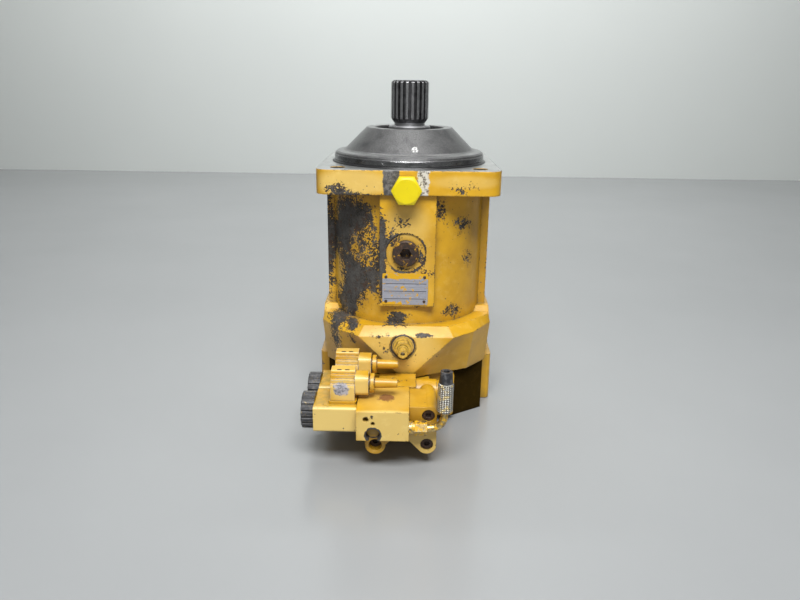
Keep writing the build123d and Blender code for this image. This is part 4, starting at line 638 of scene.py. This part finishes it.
def plug_finish(name, node, worn):
    """Painted cable plug, rubbed to grey plastic on its edges and front, with two dark slots on top."""
    low, high = (Vector(corner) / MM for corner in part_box(node))
    mid = (low + high) / 2
    # Lighter front and top: chalked paint and painted sheen.
    pale = [((mid.x, low.y, mid.z), (30, 14, 24), 0.75), ((mid.x, mid.y, high.z), (30, 30, 4), 0.45)]
    f, colour, rough, _, normal = painted(
        name, chips=-0.10, grime=0.18, pale=pale, edge_wear=0.05, soft_edge=0.8
    )
    rub = f.patch((low.x + 12, low.y + 2, mid.z - 2), (17, 10, 15), 0.25)
    rubbed = f.total(
        f.times(rub, 0.34 * worn), f.times(f.edges(1.4), 0.26), f.times(f.noise(170, 7.0, 0.68), 0.52)
    )
    rubbed = f.step(rubbed, 0.47, 0.53)
    grey = f.mix(f.step(f.noise(330, 5.0, 0.65), 0.4, 0.62), (0.44, 0.42, 0.46), (0.15, 0.15, 0.17))
    colour = f.mix(rubbed, colour, grey)
    x, y, z = f.axes()
    slot = f.step(f.math("ABSOLUTE", f.math("SUBTRACT", y, (mid.y + 1) * MM)), 0.0012, 0.0009)
    along = f.math("ABSOLUTE", f.math("SUBTRACT", x, (low.x + 13) * MM))
    slot = f.times(slot, f.times(f.step(along, 0.0068, 0.0064), f.step(along, 0.0016, 0.0020)))
    slot = f.times(slot, f.step(z, (high.z - 0.6) * MM, (high.z - 0.3) * MM))
    colour = f.mix(slot, colour, (0.010, 0.010, 0.010))
    return f.finish(colour, f.blend(rubbed, rough, 0.42), 0.0, normal)


def braid_finish():
    """Steel braid over the pilot hose: crossed strands with dark gaps."""
    f = Finish("braid_steel")
    low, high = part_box("pipe_sleeve")
    x, y, z = f.axes()
    across = f.math("SUBTRACT", x, (low[0] + high[0]) / 2)
    deep = f.math("SUBTRACT", y, (low[1] + high[1]) / 2)
    turn = f.times(f.math("ARCTAN2", deep, across), 9.0)
    climb = f.times(z, 1500.0)
    weave = f.times(f.math("SINE", f.total(turn, climb)), f.math("SINE", f.math("SUBTRACT", turn, climb)))
    strand = f.step(f.total(weave, f.times(f.noise(420, 5.0, 0.65), 0.9)), -0.1, 0.75)
    colour = f.mix(strand, (0.045, 0.040, 0.030), (0.66, 0.64, 0.58))
    colour = f.mix(f.times(f.step(f.noise(150, 5.0, 0.65), 0.52, 0.6), 0.7), colour, YELLOW_PALE)
    normal = f.bump(weave, 0.8, 0.7, soft_edge=0.5)
    return f.finish(colour, f.blend(strand, 0.55, 0.30), f.times(strand, 0.75), normal)


def nipple_finish():
    """Test nipple: over-painted brass hexagon, near black in its grooves and mouth from grease and painted
    shade.
    """
    f = Finish("nipple_paint", coat=0.3)
    stain = f.step(f.noise(230, 6.0, 0.7), 0.50, 0.60)
    colour = f.mix(f.times(stain, 0.6), (0.70, 0.46, 0.07), (0.26, 0.16, 0.045))
    # Grease with painted shade: near black where occlusion is high, in the grooves and the mouth.
    grease_and_shade = f.step(f.crevices(2.4), 0.30, 0.60)
    colour = f.mix(grease_and_shade, colour, (0.012, 0.010, 0.008))
    colour = f.mix(f.times(f.edges(0.6), 0.35), colour, (0.80, 0.66, 0.30))
    normal = f.bump(stain, 0.3, 0.15, soft_edge=0.4)
    return f.finish(colour, f.total(0.3, f.times(stain, 0.25)), 0.25, normal)


def shaft_finish():
    """Oiled dark spline with polished tooth tips and a bright seal track."""
    f = Finish("shaft_steel")
    x, y, z = f.axes()
    radius = f.math("SQRT", f.total(f.times(x, x), f.times(y, y)))
    tip = f.step(radius, 0.0216, 0.0221)
    tip = f.times(tip, f.step(z, 0.047, 0.052))
    stain = f.noise(150, 6.0, 0.65)
    dark = f.mix(f.step(stain, 0.4, 0.7), (0.10, 0.10, 0.105), (0.035, 0.034, 0.036))
    bright = f.mix(f.step(stain, 0.45, 0.75), (0.62, 0.62, 0.63), (0.28, 0.28, 0.29))
    colour = f.mix(tip, dark, bright)
    below = f.step(z, 0.0450, 0.0442)
    colour = f.mix(below, colour, (0.34, 0.34, 0.35))
    scratch = f.noise(700, 4.0, 0.6, place=f.stretched(1.0, 1.0, 0.06))
    normal = f.bump(scratch, 0.15, 0.15, soft_edge=0.35)
    rough = f.total(f.blend(tip, 0.34, 0.20), f.times(scratch, 0.08))
    return f.finish(colour, rough, 0.95, normal)


def brass(name, paint=0.0):
    f = Finish(name)
    stain = f.step(f.noise(260, 6.0, 0.7), 0.38, 0.68)
    colour = f.mix(stain, (0.66, 0.50, 0.22), (0.24, 0.15, 0.055))
    colour = f.mix(f.times(f.edges(0.7), 0.5), colour, (0.80, 0.68, 0.40))
    metallic = 0.9
    if paint:
        film = f.step(f.noise(230, 6.0, 0.65), 0.60 - paint * 0.3, 0.62 - paint * 0.3)
        colour = f.mix(film, colour, YELLOW)
        metallic = f.blend(film, 0.9, 0.0)
    normal = f.bump(stain, 0.3, 0.15, soft_edge=0.4)
    return f.finish(colour, f.total(0.25, f.times(stain, 0.25)), metallic, normal)


def dress(node, material):
    """Make this the CAD node's one material."""
    mesh = nodes[node].data
    mesh.materials.clear()
    mesh.materials.append(material)


for node_name, finish in make_finishes().items():
    dress(node_name, finish)


def spool_spring():
    """The spool's spring as a piece of its own: a copy of the CAD spring, fixed to the housing in its
    place.
    """
    cad = nodes["control_spring"]
    spring = bpy.data.objects.new("spool_spring", cad.data.copy())
    bpy.context.collection.objects.link(spring)
    spring.matrix_world = cad.matrix_world.copy()
    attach(spring, "housing")
    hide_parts("control_spring")
    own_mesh(spring)


spool_spring()


# ---- Floor, light and camera -----------------------------------------------------------------------
def plain(name, corners, tone_a, tone_b, roughness):
    """One flat studio surface with a faint unevenness."""
    mesh = bpy.data.meshes.new(name)
    mesh.from_pydata(corners, [], [(0, 1, 2, 3)])
    made = bpy.data.objects.new(name, mesh)
    bpy.context.collection.objects.link(made)
    f = Finish(name + "_paint", roughness=roughness)
    f.shader.inputs["Specular IOR Level"].default_value = 0.4
    mesh.materials.append(f.finish(f.mix(f.noise(2.0, 3.0), tone_a, tone_b)))


def stage():
    """A pale floor and, behind it, the pale wall whose foot shows above the flange."""
    half, z, wall_y, wall_top = 3.0, cad_low[2], 2.18, 2.6
    floor = [(-half, -half, z), (half, -half, z), (half, wall_y, z), (-half, wall_y, z)]
    wall = [(-half, wall_y, z), (half, wall_y, z), (half, wall_y, wall_top), (-half, wall_y, wall_top)]
    plain("floor", floor, (0.27, 0.28, 0.285), (0.32, 0.33, 0.335), 0.22)
    plain("wall", wall, (0.62, 0.65, 0.635), (0.66, 0.69, 0.67), 0.6)


def area_light(name, place, target, size, power, colour=(1, 1, 1)):
    lamp = bpy.data.lights.new(name, "AREA")
    lamp.shape = "RECTANGLE"
    lamp.size, lamp.size_y = size
    lamp.energy = power
    lamp.color = colour
    made = bpy.data.objects.new(name, lamp)
    bpy.context.collection.objects.link(made)
    made.location = place
    made.rotation_euler = (Vector(target) - Vector(place)).to_track_quat("-Z", "Y").to_euler()


def lights():
    world = bpy.data.worlds.new("studio")
    bpy.context.scene.world = world
    world.use_nodes = True
    background = world.node_tree.nodes["Background"]
    background.inputs[0].default_value = (0.80, 0.83, 0.82, 1.0)
    background.inputs[1].default_value = 0.13
    area_light("key", (0.05, -1.15, 1.45), (0, 0, -0.12), (1.2, 0.7), 56)
    area_light("overhead", (0, 0.25, 1.7), (0, 0.1, -0.1), (1.5, 1.3), 10)
    area_light("wall_wash", (0, 1.2, 1.9), (0, 2.18, 0.6), (2.6, 0.5), 46)
    area_light("low_front", (0.0, -1.9, 0.55), (0, 0, -0.2), (1.0, 0.5), 2.5)


def camera():
    """The photographer stands in front, level with the shaft's end, looking down at the barrel."""
    focal_to_width = 680.0 / 800.0
    distance, pitch, yaw, roll = 0.8425, math.radians(17.93), math.radians(0.59), math.radians(0.75)
    data = bpy.data.cameras.new("camera")
    data.sensor_width = 36.0
    data.lens = data.sensor_width * focal_to_width
    data.clip_start = 0.01
    made = bpy.data.objects.new("camera", data)
    bpy.context.collection.objects.link(made)
    shaft_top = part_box("drive_shaft")[1][2]
    look = Matrix.Rotation(yaw, 4, "Z") @ Matrix.Rotation(math.pi / 2 - pitch, 4, "X")
    made.matrix_world = Matrix.Translation((0, -distance, shaft_top)) @ look @ Matrix.Rotation(roll, 4, "Z")
    bpy.context.scene.camera = made
    bpy.context.scene.view_settings.view_transform = "Standard"


stage()
lights()
camera()
